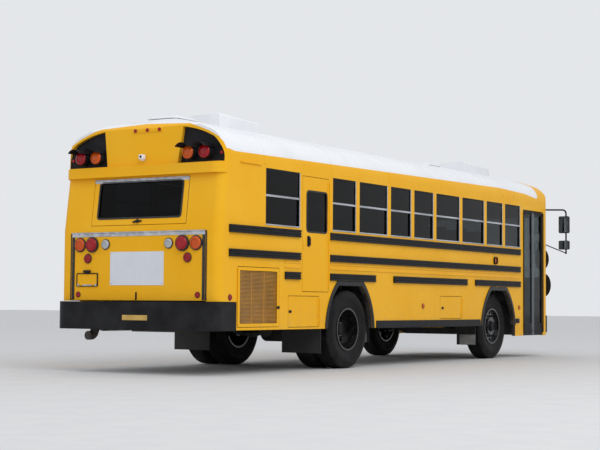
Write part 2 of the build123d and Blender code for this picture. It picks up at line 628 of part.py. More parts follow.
# Exit doors in both side walls, hung from the forward edge
HANDLE = (1850, 1890, 1560, 1680)
for side, sign in (("right", -1), ("left", 1)):
    skin = Plane.XZ.offset(-sign * HALF_WIDTH)
    s0, s1, z0, z1 = EXIT_DOOR
    g0, g1, gz0, gz1 = EXIT_GLASS
    with BuildPart() as leaf:
        with BuildSketch(skin):
            rect(s0 + GAP, s1 - GAP, z0 + GAP, z1 - GAP)
            with Locations((at((g0 + g1) / 2), (gz0 + gz1) / 2)):
                RectangleRounded(g1 - g0, gz1 - gz0, 50, mode=Mode.SUBTRACT)
        extrude(amount=sign * LEAF)
        with BuildSketch(Plane.XZ.offset(-sign * (HALF_WIDTH - 12))):
            with Locations((at((g0 + g1) / 2), (gz0 + gz1) / 2)):
                RectangleRounded(g1 - g0, gz1 - gz0, 50)
        extrude(amount=sign * PANE)
        with BuildSketch(skin):
            rect(s1 - 45, s1, z0 + 60, z1 - 60)
            rect(*HANDLE)
        extrude(amount=-sign * 4)
        with BuildSketch(Plane.XY.offset(z0 + 60)):
            with Locations((at(s1), sign * (HALF_WIDTH + HINGE_R))):
                Circle(HINGE_R)
        extrude(amount=z1 - z0 - 120)
    leaf.part.label = f"exit_door_{side}"
    export_step(leaf.part, f"parts/exit_door_{side}.step")

# Entrance door, two leaves hung from the jambs, each with a tall pane
LEAF_BAR = 45
KICK_Z = 560
mid = (ENTRANCE[0] + ENTRANCE[1]) / 2
# Column names: name, first station, last station, station of the hinge
ENTRANCE_LEAVES = (
    ("entrance_leaf_rear", ENTRANCE[0] + GAP, mid - GAP / 2, ENTRANCE[0]),
    ("entrance_leaf_front", mid + GAP / 2, ENTRANCE[1] - GAP, ENTRANCE[1]),
)
entrance_skin = Plane.XZ.offset(HALF_WIDTH - 4)
for name, s0, s1, hinge in ENTRANCE_LEAVES:
    z0, z1 = ENTRANCE[2] + GAP, ENTRANCE[3] - GAP
    with BuildPart() as leaf:
        with BuildSketch(entrance_skin):
            rect(s0, s1, z0, z1)
            rect(s0 + LEAF_BAR, s1 - LEAF_BAR, KICK_Z, z1 - LEAF_BAR, Mode.SUBTRACT)
        extrude(amount=-LEAF)
        with BuildSketch(Plane.XZ.offset(HALF_WIDTH - 18)):
            rect(s0 + LEAF_BAR, s1 - LEAF_BAR, KICK_Z, z1 - LEAF_BAR)
        extrude(amount=-PANE)
        with BuildSketch(Plane.XZ.offset(HALF_WIDTH - 4)):
            rect(min(hinge, (s0 + s1) / 2 - 160), max(hinge, (s0 + s1) / 2 + 160), z0 + 60, z0 + 90)
            rect(min(hinge, (s0 + s1) / 2 - 160), max(hinge, (s0 + s1) / 2 + 160), z1 - 40, z1 - 10)
        extrude(amount=8)
        with BuildSketch(Plane.XY.offset(z0 + 50)):
            with Locations((at(hinge), -HALF_WIDTH - HINGE_R)):
                Circle(HINGE_R)
        extrude(amount=z1 - z0 - 60)
    leaf.part.label = name
    export_step(leaf.part, f"parts/{name}.step")

# Service doors of the right wall, hung from an upright edge
# Column names: name, opening, station of the hinge
SERVICE_DOORS = (
    ("battery_door", BATTERY_DOOR, BATTERY_DOOR[1]),
    ("fuel_door", FUEL_DOOR, FUEL_DOOR[1]),
    ("radiator_door", RADIATOR_DOOR, RADIATOR_DOOR[0]),
)
GRILLE_BORDER = 48
SLAT_PITCH = 16
SLAT = 10
for name, (s0, s1, z0, z1), hinge in SERVICE_DOORS:
    with BuildPart() as door:
        with BuildSketch(Plane.XZ.offset(HALF_WIDTH)):
            rect(s0 + GAP, s1 - GAP, z0 + GAP, z1 - GAP)
            if name == "radiator_door":
                rect(s0 + GRILLE_BORDER, s1 - GRILLE_BORDER, z0 + GRILLE_BORDER, z1 - GRILLE_BORDER,
                     Mode.SUBTRACT)
        extrude(amount=-LEAF)
        if name == "radiator_door":
            slat_count = int((z1 - z0 - 2 * GRILLE_BORDER) / SLAT_PITCH)
            with BuildSketch(Plane.XZ.offset(HALF_WIDTH - 14)):
                with Locations((at((s0 + s1) / 2), (z0 + z1) / 2)):
                    with GridLocations(0, SLAT_PITCH, 1, slat_count):
                        Rectangle(s1 - s0 - 2 * GRILLE_BORDER, SLAT)
                    with GridLocations((s1 - s0 - 2 * GRILLE_BORDER) / 3, 0, 2, 1):
                        Rectangle(14, z1 - z0 - 2 * GRILLE_BORDER)
            extrude(amount=-10)
        toward = 1 if hinge == s0 else -1
        with BuildSketch(Plane.XZ.offset(HALF_WIDTH)):
            rect(min(hinge, hinge + toward * 45), max(hinge, hinge + toward * 45), z0 + 30, z1 - 30)
        extrude(amount=4)
        with BuildSketch(Plane.XY.offset(z0 + 30)):
            with Locations((at(hinge), -HALF_WIDTH - HINGE_R)):
                Circle(HINGE_R)
        extrude(amount=z1 - z0 - 60)
    door.part.label = name
    export_step(door.part, f"parts/{name}.step")

# Stop arm, an octagon folded back along the left wall
STOP_R = 225
STOP_Y = HALF_WIDTH + 48
STOP_THICK = 14
STOP_Z = (STOP_HOUSING[2] + STOP_HOUSING[3]) / 2
STOP_HINGE = STOP_HOUSING[0] - 16
STOP_CENTRE = STOP_HINGE - STOP_R - 40
with BuildPart() as stop_arm:
    with BuildSketch(Plane.XZ.offset(-STOP_Y)):
        with Locations((at(STOP_CENTRE), STOP_Z)):
            RegularPolygon(STOP_R, 8, major_radius=False, rotation=22.5)
        rect(STOP_CENTRE, STOP_HINGE, STOP_Z - 60, STOP_Z + 60)
    extrude(amount=-STOP_THICK)
    with BuildSketch(Plane.XY.offset(STOP_Z - 70)):
        with Locations((at(STOP_HINGE), STOP_Y + STOP_THICK / 2)):
            Circle(HINGE_R)
    extrude(amount=140)
    for lamp_z in (STOP_Z - 140, STOP_Z + 140):
        with Locations((at(STOP_CENTRE), STOP_Y + STOP_THICK / 2, lamp_z)):
            Cylinder(50, STOP_THICK + 20, rotation=(90, 0, 0))
stop_arm.part.label = "stop_arm"
export_step(stop_arm.part, "parts/stop_arm.step")

# Rub rails with two grooves, and the lower skirt strip between the arches
RAIL_PROUD = 28
GROOVE = 14
GROOVE_DEPTH = 10
RAIL1 = (1698, 1793)
RAIL2 = (1412, 1504)
RAIL3 = (1165, 1259)
STRIP = (530, 635)
RAIL_REAR = REAR_WRAP + 2
DOOR_REAR = EXIT_DOOR[0] - 55
DOOR_FRONT = EXIT_DOOR[1] + 16
RIGHT_END = DRIVER_PART - 115
LEFT_END = BODY_LENGTH - 250
# Stations where the lowest rail stops over the arches
REAR_BREAK = (REAR_AXLE + 665, REAR_AXLE + 1195)
FRONT_BREAK = (FRONT_AXLE - 1180, FRONT_AXLE - 880)
# Column names: side, band, first station, last station
RAILS = (
    (-1, RAIL1, RAIL_REAR, DOOR_REAR),
    (-1, RAIL1, DOOR_FRONT, RIGHT_END),
    (-1, RAIL2, RAIL_REAR, DOOR_REAR),
    (-1, RAIL2, DOOR_FRONT, RIGHT_END),
    (-1, RAIL3, 1415, DOOR_REAR),
    (-1, RAIL3, DOOR_FRONT, REAR_BREAK[0]),
    (-1, RAIL3, REAR_BREAK[1], FRONT_BREAK[0]),
    (-1, RAIL3, FRONT_BREAK[1], RIGHT_END),
    (1, RAIL1, RAIL_REAR, DOOR_REAR),
    (1, RAIL1, DOOR_FRONT, LEFT_END),
    (1, RAIL2, RAIL_REAR, DOOR_REAR),
    (1, RAIL2, DOOR_FRONT, STOP_HOUSING[0] - 4),
    (1, RAIL2, STOP_HOUSING[1] + 4, LEFT_END),
    (1, RAIL3, 1415, DOOR_REAR),
    (1, RAIL3, DOOR_FRONT, REAR_BREAK[0]),
    (1, RAIL3, REAR_BREAK[1], FRONT_BREAK[0]),
    (1, RAIL3, FRONT_BREAK[1], RIGHT_END),
)
with BuildPart() as rub_rails:
    for sign, (z0, z1), s0, s1 in RAILS:
        third = (z1 - z0) / 3
        with BuildSketch(Plane.YZ.offset(at(s0))):
            with Locations((sign * (HALF_WIDTH + RAIL_PROUD / 2), (z0 + z1) / 2)):
                Rectangle(RAIL_PROUD, z1 - z0)
            with Locations((sign * (HALF_WIDTH + RAIL_PROUD), z0 + third),
                           (sign * (HALF_WIDTH + RAIL_PROUD), z1 - third)):
                Rectangle(2 * GROOVE_DEPTH, GROOVE, mode=Mode.SUBTRACT)
        extrude(amount=s1 - s0)
    strip_start = REAR_AXLE + REAR_ARCH[0] + 55
    strip_end = FRONT_AXLE - FRONT_ARCH[0] + 20
    for sign in (-1, 1):
        with BuildSketch(Plane.YZ.offset(at(strip_start))):
            with Locations((sign * (HALF_WIDTH + 6), (STRIP[0] + STRIP[1]) / 2)):
                Rectangle(12, STRIP[1] - STRIP[0])
        extrude(amount=strip_end - 40 - strip_start)
rub_rails.part.label = "rub_rails"
export_step(rub_rails.part, "parts/rub_rails.step")

# Wheel arch trims on the skin
with BuildPart() as arch_trims:
    for sign in (-1, 1):
        with BuildSketch(Plane.XZ.offset(-sign * HALF_WIDTH)):
            arch(REAR_AXLE, REAR_ARCH, 0, Mode.ADD)
            arch(REAR_AXLE, REAR_ARCH, ARCH_TRIM, Mode.SUBTRACT)
            arch(FRONT_AXLE, FRONT_ARCH, 0, Mode.ADD)
            arch(FRONT_AXLE, FRONT_ARCH, ARCH_TRIM, Mode.SUBTRACT)
            rect(0, BODY_LENGTH, 0, SKIRT_Z, Mode.SUBTRACT)
        extrude(amount=-sign * TRIM_PROUD)
arch_trims.part.label = "arch_trims"
export_step(arch_trims.part, "parts/arch_trims.step")

# Bumpers: the rear one wraps both corners, the front one follows the bowed face
BUMPER_HALF = HALF_WIDTH + 6
BUMPER_R = 170
BUMPER_WALL = 12
FRAME_Y = 385
FRAME_WIDTH = 80
FRAME_BOTTOM = 640
FRAME_TOP = 880
FRAME_WEB = 10
FRONT_BUMPER = (400, 690, 50)
with BuildPart() as bumpers:
    with BuildSketch(Plane.XY.offset(REAR_BUMPER_BOTTOM)):
        with BuildLine() as loop:
            FilletPolyline((at(BUMPER_WRAP), -BUMPER_HALF), (at(-REAR_REACH), -BUMPER_HALF),
                           (at(-REAR_REACH), BUMPER_HALF), (at(BUMPER_WRAP), BUMPER_HALF), radius=BUMPER_R)
            Line((at(BUMPER_WRAP), BUMPER_HALF), (at(BUMPER_WRAP), -BUMPER_HALF))
        make_face()
        with BuildLine() as inner_loop:
            FilletPolyline((at(BUMPER_WRAP), -BUMPER_HALF + BUMPER_WALL),
                           (at(-REAR_REACH + BUMPER_WALL), -BUMPER_HALF + BUMPER_WALL),
                           (at(-REAR_REACH + BUMPER_WALL), BUMPER_HALF - BUMPER_WALL),
                           (at(BUMPER_WRAP), BUMPER_HALF - BUMPER_WALL), radius=BUMPER_R - BUMPER_WALL)
            Line((at(BUMPER_WRAP), BUMPER_HALF - BUMPER_WALL), (at(BUMPER_WRAP), -BUMPER_HALF + BUMPER_WALL))
        make_face(mode=Mode.SUBTRACT)
    extrude(amount=REAR_BUMPER_TOP - REAR_BUMPER_BOTTOM)
    for sign in (-1, 1):
        block(at(-REAR_REACH + BUMPER_WALL), at(60), sign * FRAME_Y - 30, sign * FRAME_Y + 30,
              FRAME_BOTTOM + 20, FRAME_TOP - 30)
    with BuildSketch(Plane.XY.offset(FRONT_BUMPER[0])):
        front_face(FRONT_WRAP + 60, shift=FRONT_BUMPER[2])
        front_face(FRONT_WRAP, mode=Mode.SUBTRACT)
    extrude(amount=FRONT_BUMPER[1] - FRONT_BUMPER[0])
bumpers.part.label = "bumpers"
export_step(bumpers.part, "parts/bumpers.step")

# Floor: raised over the engine, with wheel houses and the entrance steps
HOUSING_TOP = 1580
HOUSING_FRONT = 1290
INNER = HALF_WIDTH - WALL
HOUSE_TOP = 1142
SHEET = 12
FLOOR_REAR = WALL + 6
FLOOR_FRONT = BODY_LENGTH - 140
# Column names: station, half length, inner Y
HOUSES = ((REAR_AXLE, 650, 490), (FRONT_AXLE, 690, 440))
STEP_WELL = (ENTRANCE[0] + 9, ENTRANCE[1] - 6, 570)
# Column names: Y where the tread ends, height of the tread
TREADS = ((-930, 395), (-760, 598), (-600, 800))
TREAD = 30

with BuildPart() as floor:
    with BuildSketch(Plane.XZ.offset(-INNER)):
        with BuildLine():
            Polyline((at(FLOOR_FRONT), FLOOR_Z - FLOOR_THICK), (at(FLOOR_FRONT), FLOOR_Z),
                     (at(HOUSING_FRONT), FLOOR_Z), (at(HOUSING_FRONT), HOUSING_TOP),
                     (at(FLOOR_REAR), HOUSING_TOP), (at(FLOOR_REAR), HOUSING_TOP - FLOOR_THICK),
                     (at(HOUSING_FRONT - FLOOR_THICK), HOUSING_TOP - FLOOR_THICK),
                     (at(HOUSING_FRONT - FLOOR_THICK), FLOOR_Z - FLOOR_THICK), close=True)
        make_face()
    extrude(amount=2 * INNER)
    for station, half_length, inner_y in HOUSES:
        for sign in (-1, 1):
            with BuildSketch(Plane.XZ.offset(-sign * inner_y)):
                rect(station - half_length, station + half_length, FLOOR_Z - FLOOR_THICK, HOUSE_TOP)
            extrude(amount=-sign * (INNER - inner_y))
    for station, half_length, inner_y in HOUSES:
        for sign in (-1, 1):
            with BuildSketch(Plane.XZ.offset(-sign * (inner_y + SHEET))):
                rect(station - half_length + SHEET, station + half_length - SHEET, 0, HOUSE_TOP - SHEET)
            extrude(amount=-sign * (INNER - inner_y), mode=Mode.SUBTRACT)
    block(at(STEP_WELL[0]), at(STEP_WELL[1]), -INNER - 10, -STEP_WELL[2], FLOOR_Z - FLOOR_THICK - 10,
          FLOOR_Z + 10, Mode.SUBTRACT)
    with BuildSketch(Plane.YZ.offset(at(STEP_WELL[0]))):
        with BuildLine():
            Polyline((-INNER + 4, TREADS[0][1] - TREAD), (-INNER + 4, TREADS[0][1]),
                     TREADS[0], (TREADS[0][0], TREADS[1][1]),
                     TREADS[1], (TREADS[1][0], TREADS[2][1]),
                     TREADS[2], (TREADS[2][0], FLOOR_Z), (-STEP_WELL[2], FLOOR_Z),
                     (-STEP_WELL[2], TREADS[2][1] - TREAD), (TREADS[1][0] + TREAD, TREADS[2][1] - TREAD),
                     (TREADS[1][0] + TREAD, TREADS[1][1] - TREAD),
                     (TREADS[0][0] + TREAD, TREADS[1][1] - TREAD),
                     (TREADS[0][0] + TREAD, TREADS[0][1] - TREAD), close=True)
        make_face()
    extrude(amount=STEP_WELL[1] - STEP_WELL[0])
    for s0 in (STEP_WELL[0] - SHEET, STEP_WELL[1]):
        block(at(s0), at(s0 + SHEET), -INNER + 4, -STEP_WELL[2], TREADS[0][1] - TREAD, FLOOR_Z)
floor.part.label = "floor"
export_step(floor.part, "parts/floor.step")

# Passenger benches: station of the front edge of each row, both sides of the aisle
BENCH_INNER = 165
BENCH_OUTER = HALF_WIDTH - 79
CUSHION_Z = FLOOR_Z + 430
BACK_Z = FLOOR_Z + 1080
ROW_PITCH = 700
FIRST_ROW = 3130
REAR_ROW = 1830
ROWS = [REAR_ROW] + [FIRST_ROW + ROW_PITCH * k for k in range(8)]
with BuildPart() as passenger_seats:
    for row in ROWS:
        x = at(row)
        with BuildSketch(Plane.XZ.offset(-BENCH_INNER)):
            with BuildLine():
                Polyline((x, CUSHION_Z), (x, CUSHION_Z - 110), (x - 30, CUSHION_Z - 130),
                         (x - 470, CUSHION_Z - 130), (x - 580, BACK_Z - 40), (x - 565, BACK_Z),
                         (x - 510, BACK_Z), (x - 495, BACK_Z - 40), (x - 400, CUSHION_Z + 10), close=True)
            make_face()
        extrude(amount=-(BENCH_OUTER - BENCH_INNER))
        for leg in (x - 60, x - 420):
            block(leg - 15, leg + 15, BENCH_INNER + 60, BENCH_INNER + 90, FLOOR_Z, CUSHION_Z - 125)
    mirror(about=Plane.XZ)
passenger_seats.part.label = "passenger_seats"
export_step(passenger_seats.part, "parts/passenger_seats.step")

# Driver's seat, dashboard and steering wheel
DRIVER_Y = HALF_WIDTH - 599
with BuildPart() as driver_seat:
    x = at(DRIVER_PART + 155)
    with BuildSketch(Plane.XZ.offset(-DRIVER_Y + 250)):
        with BuildLine():
            Polyline((x, CUSHION_Z + 20), (x, CUSHION_Z - 90), (x - 480, CUSHION_Z - 90),
                     (x - 600, BACK_Z + 20), (x - 500, BACK_Z + 20), (x - 400, CUSHION_Z + 20), close=True)
        make_face()
    extrude(amount=-500)
    block(x - 420, x - 60, DRIVER_Y - 160, DRIVER_Y + 160, FLOOR_Z, CUSHION_Z - 90)
driver_seat.part.label = "driver_seat"
export_step(driver_seat.part, "parts/driver_seat.step")

DASH_X = at(BODY_LENGTH - 280)
DASH_FRONT = BODY_LENGTH - 160
with BuildPart() as dashboard:
    with BuildSketch(Plane.XZ.offset(-INNER + 4)):
        with BuildLine():
            Polyline((at(DASH_FRONT), FLOOR_Z), (at(DASH_FRONT), WINDSHIELD[1] + 20),
                     (DASH_X, WINDSHIELD[1] + 40),
                     (DASH_X - 90, WINDSHIELD[1] - 60), (DASH_X - 30, WINDSHIELD[1] - 220),
                     (DASH_X + 40, FLOOR_Z), close=True)
        make_face()
    extrude(amount=INNER - 4 + 500)
dashboard.part.label = "dashboard"
export_step(dashboard.part, "parts/dashboard.step")

WHEEL_TILT = 30
WHEEL_R = 235
with BuildPart() as steering_wheel:
    hub = Plane(origin=(at(BODY_LENGTH - 570), DRIVER_Y, 1500), x_dir=(0, 1, 0),
                z_dir=(-math.sin(math.radians(WHEEL_TILT)), 0, math.cos(math.radians(WHEEL_TILT))))
    with BuildSketch(hub):
        Circle(WHEEL_R)
        Circle(WHEEL_R - 26, mode=Mode.SUBTRACT)
        Rectangle(2 * WHEEL_R - 20, 40)
        Circle(60)
    extrude(amount=-24)
    with BuildSketch(hub):
        Circle(26)
    extrude(amount=-180)
steering_wheel.part.label = "steering_wheel"
export_step(steering_wheel.part, "parts/steering_wheel.step")

# Engine as one plain block, and the radiator behind its door
with BuildPart() as engine_block:
    block(at(330), at(1180), -330, 330, 500, 1400)
    for station in (420, 1020):
        block(at(station), at(station + 70), -FRAME_Y, FRAME_Y, FRAME_BOTTOM + FRAME_WEB, FRAME_BOTTOM + 60)
engine_block.part.label = "engine_block"
export_step(engine_block.part, "parts/engine_block.step")

with BuildPart() as radiator:
    block(at(430), at(1200), -INNER + 60, -INNER + 180, 600, 1280)
    for station in (430, 1160):
        block(at(station), at(station + 40), -INNER + 60, -INNER + 180, 600, HOUSING_TOP - FLOOR_THICK)
radiator.part.label = "radiator"
export_step(radiator.part, "parts/radiator.step")

# Chassis: two channels, cross members under the floor, brackets with tow eyes at the front
FRAME_START = 60
FRAME_END = BODY_LENGTH - 240
with BuildPart() as chassis_frame:
    for sign in (-1, 1):
        with BuildSketch(Plane.YZ.offset(at(FRAME_START))):
            with Locations((sign * FRAME_Y, (FRAME_BOTTOM + FRAME_TOP) / 2)):
                Rectangle(FRAME_WIDTH, FRAME_TOP - FRAME_BOTTOM)
            with Locations((sign * (FRAME_Y - FRAME_WEB), (FRAME_BOTTOM + FRAME_TOP) / 2)):
                Rectangle(FRAME_WIDTH, FRAME_TOP - FRAME_BOTTOM - 2 * FRAME_WEB, mode=Mode.SUBTRACT)
        extrude(amount=FRAME_END - FRAME_START)
chassis_frame.part.label = "chassis_frame"
export_step(chassis_frame.part, "parts/chassis_frame.step")

CROSS = (1500, 2200, 3800, 4600, 5400, 6200, FRONT_AXLE - 880, DRIVER_PART - 145, DRIVER_PART + 555)
CROSS_WIDTH = 70
CROSS_TUBE = (700, 820)
with BuildPart() as cross_members:
    for station in CROSS:
        reach = 560 if station > ENTRANCE[0] - 400 else INNER - 40
        block(at(station), at(station + CROSS_WIDTH), -reach, reach, FRAME_TOP, FLOOR_Z - FLOOR_THICK)
        block(at(station), at(station + CROSS_WIDTH), -FRAME_Y - FRAME_WIDTH / 2 + FRAME_WEB,
              FRAME_Y + FRAME_WIDTH / 2 - FRAME_WEB, *CROSS_TUBE)
cross_members.part.label = "cross_members"
export_step(cross_members.part, "parts/cross_members.step")

# Station of the eye, heights of its plate
TOW_EYE = BODY_LENGTH - 300
TOW_PLATE = (376, 400)
TOW_EYE_R = 24
TOW_HALF = 50
with BuildPart() as tow_eyes:
    for y in (-FRAME_Y, FRAME_Y):
        with BuildSketch(Plane.XY.offset(TOW_PLATE[0])):
            with Locations((at(TOW_EYE), y)):
                Circle(TOW_HALF)
            with Locations((at(TOW_EYE - TOW_HALF), y)):
                Rectangle(2 * TOW_HALF, 2 * TOW_HALF)
            with Locations((at(TOW_EYE), y)):
                Circle(TOW_EYE_R, mode=Mode.SUBTRACT)
        extrude(amount=TOW_PLATE[1] - TOW_PLATE[0])
        block(at(TOW_EYE - 2 * TOW_HALF), at(TOW_EYE - 2 * TOW_HALF + 20), y - TOW_HALF / 2,
              y + TOW_HALF / 2, TOW_PLATE[1], FRAME_BOTTOM)
tow_eyes.part.label = "tow_eyes"
export_step(tow_eyes.part, "parts/tow_eyes.step")

# Front axle: dropped beam with kingpin bosses, leaf springs and their hangers
BOSS_R = 45
BOSS_HALF = 65
PIN_R = 20
PIN_GAP = 0.5
SPRING_W = 76
SPRING_T = 44
# Half length, height of the underside in the middle and at the ends
FRONT_SPRING = (600, TYRE_R - 47, 570)
REAR_SPRING = (640, TYRE_R - 122, 560)


def spring_face(axle, half_length, middle_z, end_z):
    # Side view of one leaf pack as a shallow arc
    with BuildLine(mode=Mode.PRIVATE) as edge:
        lower = ThreePointArc((at(axle - half_length), end_z), (at(axle), middle_z),
                              (at(axle + half_length), end_z))
        rise = Line(lower @ 1, (at(axle + half_length), end_z + SPRING_T))
        upper = ThreePointArc(rise @ 1, (at(axle), middle_z + SPRING_T),
                              (at(axle - half_length), end_z + SPRING_T))
        Line(upper @ 1, lower @ 0)
    make_face(edge.line)


def spring_hangers(axle, half_length, end_z):
    for sign in (-1, 1):
        for end in (-half_length, half_length):
            x = at(axle + end)
            block(x - 40, x + 40, sign * FRAME_Y - 30, sign * FRAME_Y + 30, end_z, FRAME_BOTTOM)


with BuildPart() as front_axle:
    with BuildSketch(Plane.YZ.offset(at(FRONT_AXLE) - 45)):
        with BuildLine():
            Polyline((-KINGPIN_Y, TYRE_R + 45), (-KINGPIN_Y + 90, TYRE_R + 45),
                     (-480, TYRE_R - 42), (480, TYRE_R - 42),
                     (KINGPIN_Y - 90, TYRE_R + 45), (KINGPIN_Y, TYRE_R + 45), (KINGPIN_Y, TYRE_R - 45),
                     (KINGPIN_Y - 60, TYRE_R - 45), (450, TYRE_R - 142), (-450, TYRE_R - 142),
                     (-KINGPIN_Y + 60, TYRE_R - 45), (-KINGPIN_Y, TYRE_R - 45), close=True)
        make_face()
    extrude(amount=90)
    for sign in (-1, 1):
        with Locations((at(FRONT_AXLE), sign * KINGPIN_Y, TYRE_R)):
            Cylinder(BOSS_R, 2 * BOSS_HALF)
            Cylinder(PIN_R + PIN_GAP, 2 * BOSS_HALF + 20, mode=Mode.SUBTRACT)
    for sign in (-1, 1):
        with BuildSketch(Plane.XZ.offset(-sign * FRAME_Y + SPRING_W / 2)):
            spring_face(FRONT_AXLE, *FRONT_SPRING)
        extrude(amount=-SPRING_W)
    spring_hangers(FRONT_AXLE, FRONT_SPRING[0], FRONT_SPRING[2])
front_axle.part.label = "front_axle"
export_step(front_axle.part, "parts/front_axle.step")

# Rear axle: housing, tubes and underslung springs
with BuildPart() as rear_axle:
    with Locations((at(REAR_AXLE), 0, TYRE_R)):
        Cylinder(78, 2 * (REAR_TYRE_OUT - 645), rotation=(90, 0, 0))
        Cylinder(45, 2 * (REAR_TYRE_OUT - 445), rotation=(90, 0, 0))
        Cylinder(185, 250, rotation=(90, 0, 0))
        Cylinder(120, 420, rotation=(0, 90, 0))
    for sign in (-1, 1):
        with BuildSketch(Plane.XZ.offset(-sign * FRAME_Y + SPRING_W / 2)):
            spring_face(REAR_AXLE, *REAR_SPRING)
        extrude(amount=-SPRING_W)
    spring_hangers(REAR_AXLE, REAR_SPRING[0], REAR_SPRING[2])
    for sign in (-1, 1):
        block(at(REAR_AXLE) - 60, at(REAR_AXLE) + 60, sign * FRAME_Y - 45, sign * FRAME_Y + 45,
              TYRE_R - 127, TYRE_R - 52)
rear_axle.part.label = "rear_axle"
export_step(rear_axle.part, "parts/rear_axle.step")

# Steering knuckles on the kingpins, each with its spindle and steering arm
EAR = 40
EAR_GAP = 5
SPINDLE_R = 38
SPINDLE_END = KINGPIN_Y + 205
ARM_X = 200
ARM_Y = 80
WEB_Y = BOSS_R + 7
ARM_Z = TYRE_R - BOSS_HALF - EAR_GAP - EAR
for side, sign in (("left", 1), ("right", -1)):
    with BuildPart() as knuckle:
        with Locations((at(FRONT_AXLE), sign * KINGPIN_Y, TYRE_R)):
            Cylinder(PIN_R, 2 * (BOSS_HALF + EAR_GAP + EAR))
        for ear_z in (TYRE_R + BOSS_HALF + EAR_GAP, ARM_Z):
            with BuildSketch(Plane.XY.offset(ear_z)):
                with Locations((at(FRONT_AXLE), sign * KINGPIN_Y)):
                    Circle(BOSS_R)
                with Locations((at(FRONT_AXLE), sign * (KINGPIN_Y + WEB_Y / 2 + 10))):
                    Rectangle(80, WEB_Y + 20)
            extrude(amount=EAR)
        block(at(FRONT_AXLE) - 48, at(FRONT_AXLE) + 48,
              min(sign * (KINGPIN_Y + WEB_Y), sign * (KINGPIN_Y + WEB_Y + 30)),
              max(sign * (KINGPIN_Y + WEB_Y), sign * (KINGPIN_Y + WEB_Y + 30)),
              ARM_Z, TYRE_R + BOSS_HALF + EAR_GAP + EAR)
        with BuildSketch(Plane.XZ.offset(-sign * (KINGPIN_Y + WEB_Y))):
            with Locations((at(FRONT_AXLE), TYRE_R)):
                Circle(SPINDLE_R)
        extrude(amount=-sign * (SPINDLE_END - KINGPIN_Y - WEB_Y))
        with BuildSketch(Plane.XY.offset(ARM_Z)):
            with BuildLine():
                Polyline((at(FRONT_AXLE) - 20, sign * (KINGPIN_Y - 40)),
                         (at(FRONT_AXLE) - 20, sign * (KINGPIN_Y + 40)),
                         (at(FRONT_AXLE) - ARM_X - 25, sign * (KINGPIN_Y - ARM_Y + 22)),
                         (at(FRONT_AXLE) - ARM_X - 25, sign * (KINGPIN_Y - ARM_Y - 22)), close=True)
            make_face()
        extrude(amount=22)
    knuckle.part.label = f"knuckle_{side}"
    export_step(knuckle.part, f"parts/knuckle_{side}.step")

# Tyres and rims. Profiles are drawn outward from the wheel's outer face.
BEAD = 24
FLANK_R = 410


def tyre_profile(outer_y, sign):
    # Section of the tyre: bead, flank, shoulder and tread, the same on both sides
    y0 = sign * outer_y
    y1 = sign * (outer_y - TYRE_WIDTH)
    step = sign * -1
    half = [(y1 - step * BEAD, TYRE_R + RIM_R), (y1, TYRE_R + FLANK_R), (y1 - step * 14, 2 * TYRE_R - 26),
            (y1 - step * 36, 2 * TYRE_R)]
    other = [(y0 + y1 - y, z) for y, z in reversed(half)]
    with BuildLine(mode=Mode.PRIVATE) as edge:
        Polyline(*half, *other, close=True)
    make_face(edge.line)


def ring(y_a, y_b, r_a, r_b):
    with Locations(((y_a + y_b) / 2, TYRE_R + (r_a + r_b) / 2)):
        Rectangle(abs(y_b - y_a), r_b - r_a)


DISC = 14
BARREL = 14
HUB_R = 140
HAND_HOLES = 8
HAND_R = 28
HAND_CIRCLE = 212
